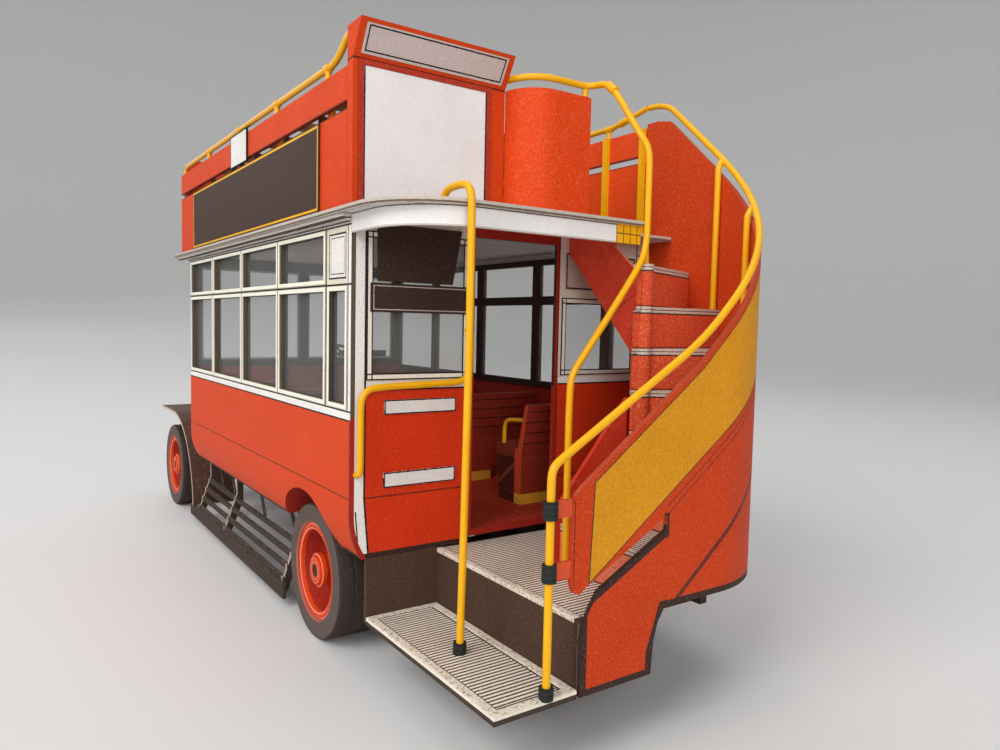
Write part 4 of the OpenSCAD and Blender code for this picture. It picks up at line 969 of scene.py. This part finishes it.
bow_x, bow_y, bow_r, bow_z = 0.1, BOX_Y0 - 7, 6.4, 107
post_y = NEWEL_Y + 1.6
wind_x = -21.8
bow_end = bow_x - bow_r
bow = [math.radians(angle) for angle in range(92, 181, 11)]
inner_route = [(bow_x + bow_r * math.cos(a), bow_y + bow_r * math.sin(a), bow_z) for a in bow]
inner_route += [
    (bow_end, post_y + 3, bow_z), (bow_end - 0.3, post_y + 0.8, bow_z), (bow_end - 1.4, post_y - 0.3, bow_z),
    (-10.5, post_y - 0.6, bow_z - 0.2), (-13, post_y - 0.7, bow_z - 2.2), (-19, post_y - 0.8, 96.6),
    (-20.6, NEWEL_Y, 94), (NEWEL_X, NEWEL_Y, 92), (NEWEL_X, NEWEL_Y, 85), (NEWEL_X, NEWEL_Y, 78),
    (NEWEL_X, NEWEL_Y + 0.4, 76), (wind_x, NEWEL_Y + 1.6, 73.6),
]
descent = ((-4, 64.5), (2.8, 56), (4.2, 54), (4.6, 51.6), (4.6, 36), (4.6, PLATFORM_Z + 0.02))
inner_route += [(wind_x, y, z) for y, z in descent]
parts = [wire(inner_route), wire([(bow_end, post_y + 0.9, z) for z in (105.02, 106, bow_z)])]
newel_foot = (NEWEL_X, NEWEL_Y, PLATFORM_Z + 7 * RISE + 0.02)
parts.append(wire([newel_foot, (NEWEL_X, NEWEL_Y + 0.1, 75), (NEWEL_X, NEWEL_Y + 0.2, 76.6)], 1.0))
parts.append(sleeve((-12, post_y - 0.66, 105.6), (-2.5, -0.1, -2), 1.65, 1.2))
own(joined(parts), "stair_inner_wire", enamel_paint, "stair_inner_rail")

FOOT = (-20.5, 24.2)
pole = wire([(x, FOOT[1], z) for x, z in (
    (FOOT[0], STEP_Z + 0.02), (-21.0, 28), (-21.3, 40), (-21.7, 60), (-21.7, 72), (-21.7, 80), (-21.4, 81.6),
    (-20.5, 82.7), (-19.1, 83.1), (-15.7, 83.1), (-14.1, 82.6), (-13.3, 81.6), (-13.1, DECK_Z + 0.02))])
own(pole, "platform_wire_pole", enamel_paint, "platform_pole")

REACH = -1.7
grab_route = (
    (11.2, 60), (11.2, 54.4), (11.6, 52.8), (13, 51.8), (15, 51.6), (22, 51.4), (29.4, 51.2), (31.4, 50.8),
    (32.4, 49.6), (32.6, 48), (32.6, 42), (32.6, 37.4),
)
grab = wire([(-0.02, 11.2, 61), (-1.2, 11.2, 60.9), *[(REACH, y, z) for y, z in grab_route],
             (-1.2, 32.6, 36.5), (-0.02, 32.6, 36.3)])
own(grab, "grab_wire_rail", enamel_paint, "bulkhead_grab_rail")

p = tape = Paint("black_tape", (0.022, 0.026, 0.024), rough=0.5, wobble=0.05)
tab = (p.y < 20.86) & (p.z > 20) & (p.y > 0) & (p.x < -38)
p.coat(tab, (0.62, 0.082, 0.030))
p.coat((p.z % 0.8 < 0.1) & (1 - tab), (0.006, 0.008, 0.008)).finish(grain=0.2, flecks=0).on("pole_fittings")
UP = (0, 0, 1)
wraps = [sleeve((x, y, STEP_Z + 0.9), UP, 2.15, 0.85) for x, y in ((foot_x, POLE_Y), FOOT)]
wraps += [sleeve((foot_x, POLE_Y, z), UP, 2.15, 1.25) for z in (28.8, 37.4)]
own(joined(wraps), "tape_wraps", tape)

p = Paint("plate_card", (0.042, 0.022, 0.017), rough=0.5)
p.coat(p.outline(p.y, p.z, 11.2, 64.2, 30.0, 68.3, 0.14), (0.50, 0.45, 0.40))
p.coat(p.z < 60, (0.74, 0.72, 0.68))
for z0, z1 in ((46.3, 48.8), (33.6, 36.2)):
    p.coat(p.outline(p.y, p.z, 13.4, z0, 27.6, z1, 0.22), BLACK)
p.finish(grain=0.2, flecks=0.1).on("rear_plates")


# ---- Side guards and front mudguards ---------------------------------------------------------
# Dark brown slats on card hangers fill the gap between the wheels. Hangers and mudguards show the
# pale core of the card along their cut edges.
p = guard_card = Paint("guard_card", (0.055, 0.036, 0.028), rough=0.65)
GUARD_X = (41, 118.5)
for x in (GUARD_X[0] + 0.6, sum(GUARD_X) / 2 + 9, GUARD_X[1] - 2):
    hanger_edge = p.span(p.x, x - 0.05, x + 0.85) & (abs(p.nx) < 0.5) & (p.z > 5.4)
    p.coat(hanger_edge & (abs(p.y) < 31.2), (0.46, 0.37, 0.29))
p.coat((p.nz > 0.7) & (p.noise(1.4, 3) > 0.5), (0.16, 0.125, 0.10))
p.finish(grain=0.3, flecks=0).on("side_guards")
struts = [wire([(x, 27.3, 13.6), (x + 4.5, 26.7, 17.6), (x + 9, 26.1, 21.7)], 0.75)
          for x in (43.5, 66, 92, 104)]
both_sides(joined(struts), "guard_struts", guard_card)

p = Paint("mudguard_card", (0.075, 0.036, 0.026), rough=0.55)
p.coat((p.noise(0.8, 4) > 0.58) * 0.5, (0.13, 0.07, 0.052))
p.coat((abs(p.y) > 31.93) | (p.x > 166.3), (0.50, 0.40, 0.31))
p.finish(grain=0.25, flecks=0).on("front_mudguards")


# ---- Bonnet, radiator and lamps --------------------------------------------------------------
# The bonnet is folded red card with louvres and hinge strips; the radiator is a grey shell round
# a printed core, with a turned cap. The lamps are short tubes with brass rims and pale faces.
BONNET = (LENGTH, 156)
p = bonnet_card = Paint("bonnet_card", (0.50, 0.050, 0.020))
p.coat(p.line(p.x % 13.7, 6.8, 0.2), (0.12, 0.012, 0.008))
p.finish().on("bonnet", "driver_cab")
strips = []
for y in (-3.6, 3.6):
    strips.append(bar((BONNET[0] + 0.4, y - 0.35, 41.98), (BONNET[1] - 0.4, y + 0.35, 42.2), 0.08))
louvre = bar((BONNET[0] + 5, 9.99, 26.5), (BONNET[0] + 6.4, 10.35, 34), 0.14)
strips += [louvre] + [copied(louvre, dx=2.3 * i) for i in range(1, 14)]
strips.append(bar((BONNET[0] + 3.6, 9.98, 25.4), (BONNET[0] + 37.6, 10.16, 25.9), 0.05))
strips.append(bar((BONNET[0] + 3.6, 9.98, 34.6), (BONNET[0] + 37.6, 10.16, 35.1), 0.05))
louvres = with_other_hand(joined(strips))
own(louvres, "bonnet_louvres", bonnet_card)

p = radiator_card = Paint("radiator_card", (0.34, 0.33, 0.31), rough=0.42)
core = (p.nx > 0.5) & p.box(abs(p.y), p.z, -1, 21.5, 8.6, 39.6) & (abs(p.y) + p.z < 45.6)
p.coat(core, (0.030, 0.028, 0.027))
p.coat(core & ((p.y % 0.9 < 0.3) | (p.z % 0.9 < 0.22)), (0.17, 0.16, 0.15))
p.coat((p.noise(1.0, 4) > 0.6) * 0.3, (0.2, 0.19, 0.18)).finish(grain=0.2, flecks=0).on("radiator")
shell = [bar((159.59, y0, 21.0), (160.0, y1, 37.2), 0.12) for y0, y1 in ((-9.7, -8.7), (8.7, 9.7))]
shell.append(bar((159.59, -9.7, 19.6), (160.0, 9.7, 21.2), 0.12))
shell.append(bar((159.59, -5.6, 39.5), (160.0, 5.6, 42.2), 0.12))
cap = [(0.001, 3.0), (1.1, 2.9), (1.5, 2.6), (1.5, 1.6), (2.0, 1.5), (2.1, 1.1), (1.9, 0.1), (0.001, 0.1)]
shell.append(turned(cap, place(157.8, 0, 43.0), (0, 0, 1), 32))
own(joined(shell), "radiator_shell", radiator_card)

p = Paint("lamp_card", (0.05, 0.03, 0.024), rough=0.4)
p.coat((p.noise(1.8, 3) > 0.6) * 0.4, (0.14, 0.10, 0.075)).finish(flecks=0).on("headlamps")
brass = (0.55, 0.36, 0.12)
rim_paint = Paint("lamp_rim_paint", brass, rough=0.35, Metallic=0.5).finish(grain=0.1, flecks=0)
lamp_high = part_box("headlamps")[1]
LAMP = ((lamp_high.x - BACK) / MM, lamp_high.y / MM - 3.1, lamp_high.z / MM - 3.1)
rim_profile = [(2.55, 0.02), (2.75, 0.3), (3.1, 0.42), (3.35, 0.2), (3.35, -0.5), (3.12, -0.5), (3.12, 0.02)]
rim_profile.append(rim_profile[0])
rim = turned(rim_profile, place(*LAMP), (1, 0, 0), 40)
own(with_other_hand(rim), "lamp_rims", rim_paint)
p = lens_paint = Paint("lamp_face_card", (0.66, 0.64, 0.58), rough=0.18, wobble=0)
p.coat(p.y % 0.9 < 0.12, (0.40, 0.39, 0.36)).finish(grain=0.06, flecks=0, relief=0.1)
face_profile = [(0.001, 0.75), (0.9, 0.68), (1.8, 0.45), (2.6, 0.1), (2.6, 0.02), (0.001, 0.02)]
face = turned(face_profile, place(*LAMP), (1, 0, 0), 40)
own(with_other_hand(face), "lamp_faces", lens_paint)


# ---- Driver's place --------------------------------------------------------------------------
# The driver's seat is a folded card box printed brown with seams. The steering wheel is dark brown
# card on its column, glued to the cab's floor behind the red scuttle.
p = Paint("driver_seat_card", (0.13, 0.050, 0.026), rough=0.5)
seams = p.y % 3.4 < 0.22
back_seams = (seams | ((p.z - 1) % 3.4 < 0.2)) & (p.nx > 0.4)
p.coat(back_seams | seams & (p.nz > 0.6), (0.04, 0.014, 0.009))
p.finish(grain=0.25).on("driver_seat")
p = Paint("steering_wheel_card", (0.035, 0.018, 0.013), rough=0.35)
p.coat((p.noise(1.6, 4) > 0.6) * 0.5, (0.10, 0.05, 0.03))
p.finish(grain=0.2, flecks=0).on("steering_wheel")
